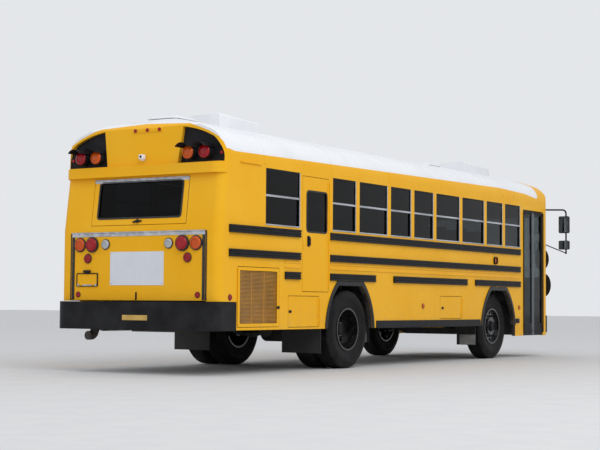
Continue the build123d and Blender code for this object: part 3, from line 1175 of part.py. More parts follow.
# Column names: name, station, outer face, depth of the disc behind the outer face, twin, hub reach
WHEELS = (
    ("front", FRONT_AXLE, FRONT_TYRE_OUT, 60, False, -40),
    ("rear", REAR_AXLE, REAR_TYRE_OUT, 215, True, 40),
)
for place, station, outer_y, dish, twin, hub_reach in WHEELS:
    outers = [outer_y, outer_y - TYRE_WIDTH - TWIN_GAP] if twin else [outer_y]
    hub_inner = REAR_TYRE_OUT - 595 if twin else KINGPIN_Y + WEB_Y + 36
    bore_r = 46 if twin else SPINDLE_R + 1
    bore_end = REAR_TYRE_OUT - 435 if twin else SPINDLE_END + 4
    for side, sign in (("left", 1), ("right", -1)):
        spin = Axis((at(station), 0, TYRE_R), (0, 1, 0))
        with BuildPart() as tyre:
            for face_y in outers:
                with BuildSketch(Plane.YZ.offset(at(station))):
                    tyre_profile(face_y, sign)
                revolve(axis=spin)
        tyre.part.label = f"{place}_tyre_{side}"
        export_step(tyre.part, f"parts/{place}_tyre_{side}.step")
        with BuildPart() as rim:
            with BuildSketch(Plane.YZ.offset(at(station))):
                for face_y in outers:
                    ring(sign * (face_y - BEAD), sign * (face_y - TYRE_WIDTH + BEAD), RIM_R - BARREL, RIM_R)
                    for flange in (face_y - BEAD + 12, face_y - TYRE_WIDTH + BEAD):
                        ring(sign * flange, sign * (flange - 12), RIM_R - BARREL - 8, RIM_R)
                disc_y = outer_y - dish
                ring(sign * disc_y, sign * (disc_y - DISC), 100, RIM_R - 2)
                ring(sign * (disc_y + 30), sign * (disc_y - 50), bore_r + 20, HUB_R)
                if twin:
                    inner_disc = outers[1] - TYRE_WIDTH + dish
                    ring(sign * (disc_y - 50), sign * (inner_disc), 100, HUB_R + 20)
                    ring(sign * inner_disc, sign * (inner_disc + DISC), 100, RIM_R - 2)
                ring(sign * hub_inner, sign * (disc_y + 20), bore_r, HUB_R - 20)
                if bore_end < disc_y:
                    ring(sign * bore_end, sign * (disc_y + 20), 0, HUB_R - 30)
                hub_face = disc_y + 20
                ring(sign * hub_face, sign * (hub_face + 25 + (hub_reach if twin else 0)), 0, 92)
                ring(sign * bore_end, sign * hub_face, 0, bore_r + 4)
            revolve(axis=spin)
            with Locations(Plane(origin=(at(station), 0, TYRE_R), x_dir=(1, 0, 0), z_dir=(0, -1, 0))):
                with PolarLocations(HAND_CIRCLE, HAND_HOLES):
                    Cylinder(HAND_R, 4 * HALF_WIDTH, mode=Mode.SUBTRACT)
        rim.part.label = f"{place}_rim_{side}"
        export_step(rim.part, f"parts/{place}_rim_{side}.step")

# Tanks, exhaust and mud flaps under the body
FUEL_TANK_IN = 480
FUEL_TANK_OUT = HALF_WIDTH - 119
with BuildPart() as tanks:
    with BuildSketch(Plane.YZ.offset(at(5000))):
        with Locations((-(FUEL_TANK_IN + FUEL_TANK_OUT) / 2, 695)):
            RectangleRounded(FUEL_TANK_OUT - FUEL_TANK_IN, 340, 60)
    extrude(amount=1300)
    for station, y in ((4150, 720), (5150, 720)):
        with Locations((at(station), y, 730)):
            Cylinder(125, 850, rotation=(0, 90, 0))
        block(at(station) - 30, at(station) + 30, FRAME_Y + FRAME_WIDTH / 2, y, 720, 760)
    block(at(5200), at(5260), -FUEL_TANK_IN - 20, -FRAME_Y - FRAME_WIDTH / 2, 700, 760)
    block(at(6000), at(6060), -FUEL_TANK_IN - 20, -FRAME_Y - FRAME_WIDTH / 2, 700, 760)
tanks.part.label = "tanks"
export_step(tanks.part, "parts/tanks.step")

PIPE_R = 55
with BuildPart() as exhaust:
    with Locations((at(700), 720, 640)):
        Cylinder(140, 900, rotation=(0, 90, 0))
    with BuildLine():
        FilletPolyline((at(260), 720, 640), (at(150), 720, 640), (at(60), 720, 450), (at(-40), 720, 450),
                       radius=60)
    with BuildSketch(Plane.YZ.offset(at(260))):
        with Locations((720, 640)):
            Circle(PIPE_R)
    sweep()
    for station in (450, 950):
        block(at(station), at(station + 40), FRAME_Y + FRAME_WIDTH / 2, 640, 690, 730)
exhaust.part.label = "exhaust"
export_step(exhaust.part, "parts/exhaust.step")

# Column names: station, inner Y, outer Y, top, bottom
FLAPS = (
    (REAR_AXLE - 710, REAR_TYRE_OUT - 605, REAR_TYRE_OUT - 5, 530, 215),
    (FRONT_AXLE - 670, FRONT_TYRE_OUT - 320, FRONT_TYRE_OUT + 10, 530, 230),
)
FLAP_THICK = 10
HANGER_Y = FRONT_TYRE_OUT
with BuildPart() as mud_flaps:
    for station, y0, y1, top, bottom in FLAPS:
        with BuildSketch(Plane.YZ.offset(at(station))):
            with Locations(((y0 + y1) / 2, (top + bottom) / 2)):
                Rectangle(y1 - y0, top - bottom)
        extrude(amount=FLAP_THICK)
        block(at(station), at(station + FLAP_THICK), y0, HANGER_Y, top, FLOOR_Z - FLOOR_THICK)
    mirror(about=Plane.XZ)
mud_flaps.part.label = "mud_flaps"
export_step(mud_flaps.part, "parts/mud_flaps.step")

# Mirrors: upper arm, flat and convex heads, lower stay, and two oval front heads each side
ARM_R = 14
STAY_R = 9
MIRROR_X = FRONT_X + 110
MIRROR_Y = (HALF_WIDTH + 166, HALF_WIDTH + 348)
POST_Y = HALF_WIDTH + 291
# Column names: bottom, top
FLAT_HEAD = (2123, 2418)
ARM_TOP = FRONT_CAP_Z + 52
CONVEX_HEAD = (1837, 1993)
HEAD_DEPTH = 60
# Column names: Y, Z, half width, half height
OVALS = ((HALF_WIDTH - 156, 1672, 132, 192), (HALF_WIDTH - 127, 1220, 140, 208))
OVAL_DEPTH = 70
with BuildPart() as mirrors:
    with BuildLine():
        arm_path = FilletPolyline((FRONT_X - 90, HALF_WIDTH - 99, ARM_TOP), (MIRROR_X, POST_Y, ARM_TOP),
                                  (MIRROR_X, POST_Y, 1760), radius=60)
    with BuildSketch(Plane(origin=arm_path @ 0, z_dir=arm_path % 0)):
        Circle(ARM_R)
    sweep()
    for z0, z1 in (FLAT_HEAD, CONVEX_HEAD):
        with BuildSketch(Plane.YZ.offset(MIRROR_X - HEAD_DEPTH / 2)):
            with Locations(((MIRROR_Y[0] + MIRROR_Y[1]) / 2, (z0 + z1) / 2)):
                RectangleRounded(MIRROR_Y[1] - MIRROR_Y[0], z1 - z0, 25)
        extrude(amount=HEAD_DEPTH)
    with BuildLine():
        stay_path = Line((FRONT_X - 70, HALF_WIDTH - 119, 1960), (MIRROR_X, POST_Y, 1775))
    with BuildSketch(Plane(origin=stay_path @ 0, z_dir=stay_path % 0)):
        Circle(STAY_R)
    sweep()
    for y, z, half_y, half_z in OVALS:
        with BuildSketch(Plane.YZ.offset(FRONT_X + MIRROR_REACH)):
            with Locations((y, z)):
                Ellipse(half_y - 40, half_z - 40)
        with BuildSketch(Plane.YZ.offset(FRONT_X + MIRROR_REACH - OVAL_DEPTH)):
            with Locations((y, z)):
                Ellipse(half_y, half_z)
        loft()
        with Locations((FRONT_X + (MIRROR_REACH - OVAL_DEPTH) / 2 - 30, y, z)):
            Cylinder(STAY_R, MIRROR_REACH - OVAL_DEPTH + 60, rotation=(0, 90, 0))
    with BuildSketch(Plane.XY):
        front_face(FRONT_WRAP - 400)
    extrude(amount=GUTTER_Z + 200, mode=Mode.SUBTRACT)
    mirror(about=Plane.XZ)
mirrors.part.label = "mirrors"
export_step(mirrors.part, "parts/mirrors.step")

# Head lamps, turn lamps and small marker lamps on the body
# Column names: Y, Z, radius of each front lamp
FRONT_LAMPS = ((HALF_WIDTH - 289, 860, 90), (HALF_WIDTH - 499, 860, 90), (HALF_WIDTH - 179, 1080, 55))
SIDE_LAMPS = ((234, 926, 38), (FRONT_AXLE - 132, 1581, 45), (5144, 840, 38), (DRIVER_PART - 145, 825, 38))
with BuildPart() as body_lamps:
    for y, z, r in FRONT_LAMPS:
        with Locations((FRONT_X - 60, y, z)):
            Cylinder(r, 140, rotation=(0, 90, 0))
        with Locations((FRONT_X - 60, -y, z)):
            Cylinder(r, 140, rotation=(0, 90, 0))
    with BuildSketch(Plane.XY):
        front_face(FRONT_WRAP - 400)
    extrude(amount=GUTTER_Z, mode=Mode.SUBTRACT)
    for station, z, r in SIDE_LAMPS:
        for sign in (-1, 1):
            with Locations((at(station), sign * (HALF_WIDTH + 6), z)):
                Cylinder(r, 12, rotation=(90, 0, 0))
body_lamps.part.label = "body_lamps"
export_step(body_lamps.part, "parts/body_lamps.step")

# Wipers, each a pivot below the glass, an arm and a blade that follow the bowed front
WIPER_OFF = 8
WIPER_THICK = 12
PIVOT_R = 18
PIVOT_LENGTH = 100
PIVOT_Z = 1300
# Column names: Y of the pivot, Y of the blade's middle, Z of the blade's middle
WIPERS = ((360, 620, 1480), (-760, -500, 1480))
BLADE = 620
with BuildPart() as wipers:
    with BuildSketch(Plane.XY.offset(PIVOT_Z - 60)):
        front_face(FRONT_WRAP, shift=WIPER_OFF + WIPER_THICK)
        front_face(FRONT_WRAP, shift=WIPER_OFF, mode=Mode.SUBTRACT)
    extrude(amount=400)
    with BuildSketch(Plane.YZ.offset(FRONT_X - 200)):
        for pivot_y, blade_y, blade_z in WIPERS:
            lean = math.degrees(math.atan2(blade_z - PIVOT_Z, blade_y - pivot_y))
            reach = math.hypot(blade_z - PIVOT_Z, blade_y - pivot_y)
            with Locations(Location(((pivot_y + blade_y) / 2, (PIVOT_Z + blade_z) / 2, 0), (0, 0, lean))):
                Rectangle(reach, 20)
            with Locations((pivot_y, PIVOT_Z)):
                Circle(PIVOT_R)
            with Locations((blade_y, blade_z)):
                Rectangle(BLADE, 26)
    extrude(amount=400, mode=Mode.INTERSECT)
    for pivot_y, blade_y, blade_z in WIPERS:
        with Locations((FRONT_X + WIPER_OFF + WIPER_THICK - PIVOT_LENGTH / 2, pivot_y, PIVOT_Z)):
            Cylinder(PIVOT_R - 6, PIVOT_LENGTH, rotation=(0, 90, 0))
    with BuildSketch(Plane.XY.offset(PIVOT_Z - 60)):
        front_face(FRONT_WRAP - 200)
    extrude(amount=400, mode=Mode.SUBTRACT)
wipers.part.label = "wipers"
export_step(wipers.part, "parts/wipers.step")
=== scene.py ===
import json
import math
import bpy
from mathutils import Matrix, Vector
from mathutils.bvhtree import BVHTree

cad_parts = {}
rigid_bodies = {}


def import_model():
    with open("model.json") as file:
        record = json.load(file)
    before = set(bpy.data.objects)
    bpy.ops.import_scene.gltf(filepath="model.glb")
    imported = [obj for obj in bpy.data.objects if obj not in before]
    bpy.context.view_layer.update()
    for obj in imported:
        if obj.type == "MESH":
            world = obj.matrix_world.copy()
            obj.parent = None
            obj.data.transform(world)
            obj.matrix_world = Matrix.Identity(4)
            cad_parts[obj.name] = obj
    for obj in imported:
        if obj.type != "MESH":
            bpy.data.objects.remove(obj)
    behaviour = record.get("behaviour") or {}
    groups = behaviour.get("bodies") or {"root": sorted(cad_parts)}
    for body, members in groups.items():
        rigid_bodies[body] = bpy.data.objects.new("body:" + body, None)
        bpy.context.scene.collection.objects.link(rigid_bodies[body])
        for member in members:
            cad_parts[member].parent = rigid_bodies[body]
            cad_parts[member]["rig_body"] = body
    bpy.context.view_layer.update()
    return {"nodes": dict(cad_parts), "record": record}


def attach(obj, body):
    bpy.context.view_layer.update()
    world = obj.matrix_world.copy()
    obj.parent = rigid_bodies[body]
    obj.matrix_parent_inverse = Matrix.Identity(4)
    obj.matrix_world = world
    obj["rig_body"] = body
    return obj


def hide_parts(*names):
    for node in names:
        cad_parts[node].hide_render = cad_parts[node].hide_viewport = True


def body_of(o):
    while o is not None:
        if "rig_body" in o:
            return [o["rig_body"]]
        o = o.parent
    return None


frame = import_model()
NODES = frame["nodes"]

# Camera, found by laying the coach's known sizes over the picture
CAMERA_PLACE = (-18.609, -11.011, 0.852)
CAMERA_YAW = 32.417
CAMERA_PITCH = 3.154
CAMERA_ROLL = 0.431
CAMERA_LENS = 86.31
# Level of the pale sky, as it lights the coach and as it is seen or mirrored
SKY_LIGHT = 0.9
SKY_SEEN = 0.82

# Sizes shared with the drawing, in metres. A station is a distance forward of the rear skin.
REAR_SKIN = -4.955
HALF_WIDTH = 1.219
BODY_LENGTH = 9.840
TYRE_R = 0.522
TYRE_WIDTH = 0.280
REAR_AXLE = 3.040
FRONT_AXLE = 7.780
REAR_TYRE_OUT = 1.195
FRONT_TYRE_OUT = 1.120
TWIN_GAP = 0.050
BELT_Z = 1.745
REAR_LEAN = math.radians(7.4)
FLOOR_Z = 1.000
SILL_Z = 1.818
MID_RAIL_Z = 2.175
WINDOW_TOP = 2.524
GUTTER_Z = 2.545
WINDSHIELD_LOW = 1.34
WINDSHIELD_HIGH = 2.41
WINDSHIELD_HALF = 1.095
STOP_ARM_Z = 1.56
WARNING_LAMP_Z = 2.655

# Names of the sides, with the sign of their Y
SIDES = (("right", -1), ("left", 1))


def at(station):
    return REAR_SKIN + station


# Helpers for modelling by hand

def drop_selection():
    bpy.ops.object.select_all(action="DESELECT")


def take(piece):
    drop_selection()
    piece.select_set(True)
    bpy.context.view_layer.objects.active = piece


def enter_edit():
    bpy.ops.object.mode_set(mode="EDIT")


def leave_edit():
    bpy.ops.object.mode_set(mode="OBJECT")


def pick_all(piece):
    take(piece)
    enter_edit()
    bpy.ops.mesh.select_all(action="SELECT")


def pick_none(piece, kind):
    take(piece)
    enter_edit()
    bpy.ops.mesh.select_mode(type=kind)
    bpy.ops.mesh.select_all(action="DESELECT")
    leave_edit()


def pick_faces(piece, wanted):
    pick_none(piece, "FACE")
    for face in piece.data.polygons:
        face.select = wanted(face.center, face.normal)
    enter_edit()


def pick_edges(piece, wanted):
    pick_none(piece, "EDGE")
    spots = piece.data.vertices
    for edge in piece.data.edges:
        first, second = (spots[i].co for i in edge.vertices)
        edge.select = wanted((first + second) / 2, (second - first).normalized())
    enter_edit()


def fix_place(piece):
    take(piece)
    bpy.ops.object.transform_apply(location=True, rotation=True, scale=True)


def smooth(piece, degrees=35):
    take(piece)
    bpy.ops.object.shade_smooth_by_angle(angle=math.radians(degrees))


def block(name, low, high):
    drop_selection()
    bpy.ops.mesh.primitive_cube_add(size=1, location=[(a + b) / 2 for a, b in zip(low, high)])
    piece = bpy.context.object
    piece.name = name
    piece.scale = [b - a for a, b in zip(low, high)]
    fix_place(piece)
    return piece


def bar(name, low, high, edge=0.002, segments=2):
    # A bar between two corners with rounded edges
    piece = block(name, low, high)
    pick_all(piece)
    bpy.ops.mesh.bevel(offset=edge, segments=segments, affect="EDGES")
    leave_edit()
    return piece


TURNS = {"X": (0, math.radians(90), 0), "Y": (math.radians(90), 0, 0), "Z": (0, 0, 0)}


def disc(name, centre, axis, radius, depth, edge=0.003, sides=32):
    # A round piece along one axis with chamfered rims
    drop_selection()
    bpy.ops.mesh.primitive_cylinder_add(vertices=sides, radius=radius, depth=depth, location=centre,
                                        rotation=TURNS[axis])
    piece = bpy.context.object
    piece.name = name
    fix_place(piece)
    way = "XYZ".index(axis)
    pick_faces(piece, lambda centre, normal: abs(normal[way]) > 0.9)
    bpy.ops.mesh.bevel(offset=edge, segments=2, affect="EDGES")
    leave_edit()
    return piece


def ring_frame(name, low, high, axis, corner, width):
    # A flat frame with rounded corners round an opening
    piece = block(name, low, high)
    way = "XYZ".index(axis)
    pick_edges(piece, lambda centre, along: abs(along[way]) > 0.9)
    bpy.ops.mesh.bevel(offset=corner, segments=6, affect="EDGES")
    leave_edit()
    pick_faces(piece, lambda centre, normal: abs(normal[way]) > 0.9)
    bpy.ops.mesh.inset(thickness=width)
    bpy.ops.mesh.bridge_edge_loops()
    leave_edit()
    smooth(piece, 40)
    return piece


def joined(pieces):
    drop_selection()
    for piece in pieces:
        piece.select_set(True)
    bpy.context.view_layer.objects.active = pieces[0]
    bpy.ops.object.join()
    return pieces[0]


def copied(piece, move=(0, 0, 0), mirror=False):
    # A copy with its own mesh, mirrored to the other side or moved
    take(piece)
    bpy.ops.object.duplicate(linked=False)
    copy = bpy.context.object
    if mirror:
        copy.scale = (1, -1, 1)
    copy.location = move
    fix_place(copy)
    if mirror:
        pick_all(copy)
        bpy.ops.mesh.normals_make_consistent(inside=False)
        leave_edit()
    return copy


def worked(piece, kind, **settings):
    # Adds one modifier with its settings and applies it
    step = piece.modifiers.new("step", kind)
    for setting, value in settings.items():
        setattr(step, setting, value)
    take(piece)
    bpy.ops.object.modifier_apply(modifier="step")


def repeated(piece, count, pitch):
    # A row of the same shape along X, as one mesh
    worked(piece, "ARRAY", count=count, use_relative_offset=False, use_constant_offset=True,
           constant_offset_displace=(pitch, 0, 0))
    return piece


def fit_out(piece, name, finish, body, slot, *stands_for):
    # Names a finished piece, gives it its finish and sets it on its body
    piece.name = name
    piece.data.name = name
    piece.data.materials.clear()
    piece.data.materials.append(FINISHES[finish])
    fix_place(piece)
    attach(piece, body)
    if stands_for:
        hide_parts(*stands_for)


def bars(name, finish, body, slot, corners, edge=0.0015):
    # Several bars as one piece
    made = joined([bar("bar", low, high, edge) for low, high in corners])
    smooth(made, 40)
    fit_out(made, name, finish, body, slot)


def lens_on(name, centre, axis, radius, depth, edge, sides, finish, slot):
    # A small round lens on the coach
    lens = disc("lens", centre, axis, radius, depth, edge, sides)
    smooth(lens, 50)
    fit_out(lens, name, finish, "coach", slot)


def on_side(sign, s0, s1, z0, z1, inner, outer):
    # Corners of a bar on the right (-1) or left (1) side; inner and outer are distances from the middle
    y0, y1 = sorted((sign * inner, sign * outer))
    return (at(s0), y0, z0), (at(s1), y1, z1)


def on_skin(sign, s0, s1, z0, z1, into, out):
    # The same, reaching into and out of the side skin
    return on_side(sign, s0, s1, z0, z1, HALF_WIDTH - into, HALF_WIDTH + out)


def on_back(y0, y1, z0, z1, out, into=0.001):
    # Corners of a bar on the upright part of the rear skin
    return (at(0) - out, y0, z0), (at(0) + into, y1, z1)


def touch(node, start, way):
    # First point of a node's surface from a start along a way
    shape = NODES[node].data
    tree = BVHTree.FromPolygons([v.co for v in shape.vertices], [p.vertices for p in shape.polygons])
    return tree.ray_cast(Vector(start), Vector(way))[0]


# Materials

def start_finish(name, roughness, metallic=0.0, coat=0.0, gloss=0.5):
    made = bpy.data.materials.new(name)
    made.use_nodes = True
    shader = made.node_tree.nodes["Principled BSDF"]
    shader.inputs["Roughness"].default_value = roughness
    shader.inputs["Metallic"].default_value = metallic
    shader.inputs["Coat Weight"].default_value = coat
    shader.inputs["Coat Roughness"].default_value = 0.08
    shader.inputs["Specular IOR Level"].default_value = gloss
    return made, made.node_tree, shader


def spot(tree, stretch=(1, 1, 1)):
    coords = tree.nodes.new("ShaderNodeTexCoord")
    mapping = tree.nodes.new("ShaderNodeMapping")
    mapping.inputs["Scale"].default_value = stretch
    tree.links.new(coords.outputs["Object"], mapping.inputs["Vector"])
    return mapping.outputs["Vector"]


def grain(tree, place, scale, detail=4.0):
    noise = tree.nodes.new("ShaderNodeTexNoise")
    noise.inputs["Scale"].default_value = scale
    noise.inputs["Detail"].default_value = detail
    tree.links.new(place, noise.inputs["Vector"])
    return noise.outputs["Fac"]


def span(tree, value, low, high, to_low, to_high):
    ranged = tree.nodes.new("ShaderNodeMapRange")
    ranged.interpolation_type = "SMOOTHSTEP"
    for socket, number in (("From Min", low), ("From Max", high), ("To Min", to_low), ("To Max", to_high)):
        ranged.inputs[socket].default_value = number
    tree.links.new(value, ranged.inputs["Value"])
    return ranged.outputs["Result"]


def work(tree, operation, first, second):
    node = tree.nodes.new("ShaderNodeMath")
    node.operation = operation
    for socket, value in zip(node.inputs, (first, second)):
        if isinstance(value, (int, float)):
            socket.default_value = value
        else:
            tree.links.new(value, socket)
    return node.outputs["Value"]


def blend_colours(tree, factor, first, second):
    mix = tree.nodes.new("ShaderNodeMix")
    mix.data_type = "RGBA"
    tree.links.new(factor, mix.inputs["Factor"])
    for socket, colour in ((mix.inputs["A"], first), (mix.inputs["B"], second)):
        if isinstance(colour, tuple):
            socket.default_value = (*colour, 1)
        else:
            tree.links.new(colour, socket)
    return mix.outputs["Result"]


def add_relief(tree, shader, height, strength, distance=0.002):
    bump = tree.nodes.new("ShaderNodeBump")
    bump.inputs["Strength"].default_value = strength
    bump.inputs["Distance"].default_value = distance
    tree.links.new(height, bump.inputs["Height"])
    tree.links.new(bump.outputs["Normal"], shader.inputs["Normal"])


def worn_finish(name, colour, second, roughness, metallic=0, coat=0, scale=3, fine=60, relief=0.08,
                gloss=0.5, stretch=(1, 1, 1), spread=0.12):
    # Two tones in soft patches, roughness that varies with them, and a fine relief
    made, tree, shader = start_finish(name, roughness, metallic, coat, gloss)
    place = spot(tree, stretch)
    patches = grain(tree, place, scale)
    fine_grain = grain(tree, place, fine, 2.0)
    soft = span(tree, patches, 0.35, 0.68, 0, 1)
    tree.links.new(blend_colours(tree, soft, colour, second), shader.inputs["Base Color"])
    rough = span(tree, work(tree, "ADD", patches, work(tree, "MULTIPLY", fine_grain, 0.35)), 0.4, 0.85,
                 max(roughness - spread, 0.03), min(roughness + spread, 1))
    tree.links.new(rough, shader.inputs["Roughness"])
    add_relief(tree, shader, fine_grain, relief)
    return made


YELLOW = (0.84, 0.42, 0.012)
YELLOW_FADED = (0.86, 0.45, 0.022)
DUST = (0.30, 0.24, 0.16)
WHITE = (0.80, 0.81, 0.83)
WHITE_GREY = (0.75, 0.76, 0.78)
# Heights between which the road dust on the skirt fades out, and how strong it is at the foot
DUST_FOOT = 0.45
DUST_TOP = 1.05
DUST_SHARE = 0.16


def yellow_colour(tree, place):
    # Faded yellow with dust low down, and the split coordinates it was made from
    patches = span(tree, grain(tree, place, 1.3), 0.35, 0.7, 0, 1)
    clean = blend_colours(tree, patches, YELLOW, YELLOW_FADED)
    split = tree.nodes.new("ShaderNodeSeparateXYZ")
    tree.links.new(place, split.inputs[0])
    low = span(tree, split.outputs["Z"], DUST_FOOT, DUST_TOP, DUST_SHARE, 0)
    specks = span(tree, grain(tree, place, 9.0, 6.0), 0.42, 0.72, 0, 1)
    return blend_colours(tree, work(tree, "MULTIPLY", low, specks), clean, DUST), split


def paint_roughness(tree, place, shader, low, high):
    rough = span(tree, grain(tree, place, 5.0), 0.3, 0.7, low, high)
    tree.links.new(rough, shader.inputs["Roughness"])
    add_relief(tree, shader, grain(tree, place, 300.0, 1.0), 0.004, 0.0004)


def yellow_paint():
    made, tree, shader = start_finish("yellow_paint", 0.3, coat=0.02, gloss=0.07)
    place = spot(tree)
    colour, _ = yellow_colour(tree, place)
    tree.links.new(colour, shader.inputs["Base Color"])
    paint_roughness(tree, place, shader, 0.22, 0.36)
    return made


# Edge of the white on the rear face, as |Y| and Z, and along the sides, as station and Z
WHITE_EDGE_REAR = ((0.0, 3.049), (0.686, 3.014), (0.860, 2.956), (1.001, 2.902), (1.137, 2.827),
                   (1.189, 2.762), (1.214, 2.682))
WHITE_EDGE_SIDE = ((0.0, 2.664), (7.9, 2.778), (8.9, 2.746), (9.36, 2.692), (9.43, 2.74), (9.47, 2.98),
                   (9.52, 3.18))
EDGE_LOW = 2.6
EDGE_HIGH = 3.2
# Half the width of the blend at that edge
EDGE_SOFT = 0.003


def edge_curve(tree, value, stops, reach):
    # The stops run from 0 to reach, and the ramp's grey is the height between EDGE_LOW and EDGE_HIGH
    ramp = tree.nodes.new("ShaderNodeValToRGB")
    elements = ramp.color_ramp.elements
    elements[0].position = stops[0][0] / reach
    elements[1].position = stops[-1][0] / reach
    for place, _ in stops[1:-1]:
        elements.new(place / reach)
    for element, (_, height) in zip(elements, stops):
        grey = (height - EDGE_LOW) / (EDGE_HIGH - EDGE_LOW)
        element.color = (grey, grey, grey, 1)
    tree.links.new(work(tree, "DIVIDE", value, reach), ramp.inputs["Fac"])
    return work(tree, "MULTIPLY", ramp.outputs["Color"], EDGE_HIGH - EDGE_LOW)


def two_tone_paint():
    # White over yellow, parted by a line that follows the shoulder
    made, tree, shader = start_finish("two_tone_paint", 0.3, coat=0.02, gloss=0.07)
    place = spot(tree)
    yellow, split = yellow_colour(tree, place)
    station = work(tree, "SUBTRACT", split.outputs["X"], REAR_SKIN)
    side = work(tree, "ABSOLUTE", split.outputs["Y"], 0)
    rear_edge = edge_curve(tree, side, WHITE_EDGE_REAR, 1.25)
    side_edge = edge_curve(tree, station, WHITE_EDGE_SIDE, 10.0)
    past_cap = span(tree, station, 0.20, 0.34, 0, 1)
    mix = tree.nodes.new("ShaderNodeMix")
    tree.links.new(past_cap, mix.inputs["Factor"])
    tree.links.new(rear_edge, mix.inputs["A"])
    tree.links.new(side_edge, mix.inputs["B"])
    above = work(tree, "SUBTRACT", split.outputs["Z"], mix.outputs["Result"])
    white_part = span(tree, above, EDGE_LOW - EDGE_SOFT, EDGE_LOW + EDGE_SOFT, 0, 1)
    stains = span(tree, grain(tree, place, 2.2, 6.0), 0.4, 0.75, 0, 1)
    white = blend_colours(tree, stains, WHITE, WHITE_GREY)
    tree.links.new(blend_colours(tree, white_part, yellow, white), shader.inputs["Base Color"])
    paint_roughness(tree, place, shader, 0.25, 0.42)
    return made


def tinted_glass(name, tint, roughness):
    made, tree, shader = start_finish(name, roughness)
    shader.inputs["Transmission Weight"].default_value = 1.0
    shader.inputs["IOR"].default_value = 1.2
    place = spot(tree)
    film = span(tree, grain(tree, place, 7.0, 5.0), 0.4, 0.8, roughness, roughness + 0.06)
    tree.links.new(film, shader.inputs["Roughness"])
    patches = span(tree, grain(tree, place, 1.5), 0.3, 0.7, 0, 1)
    darker = tuple(c * 0.82 for c in tint)
    tree.links.new(blend_colours(tree, patches, tint, darker), shader.inputs["Base Color"])
    return made


def lens_finish(name, colour, deep):
    # Moulded lens: a grid of small prisms under a glossy face
    made, tree, shader = start_finish(name, 0.12, coat=0.15, gloss=0.3)
    place = spot(tree)
    prisms = tree.nodes.new("ShaderNodeTexVoronoi")
    prisms.inputs["Scale"].default_value = 110.0
    prisms.inputs["Randomness"].default_value = 0.15
    tree.links.new(place, prisms.inputs["Vector"])
    shade = span(tree, prisms.outputs["Distance"], 0.1, 0.7, 0, 1)
    tree.links.new(blend_colours(tree, shade, colour, deep), shader.inputs["Base Color"])
    add_relief(tree, shader, prisms.outputs["Distance"], 0.35, 0.002)
    tree.links.new(span(tree, grain(tree, place, 14.0), 0.3, 0.7, 0.08, 0.2), shader.inputs["Roughness"])
    return made


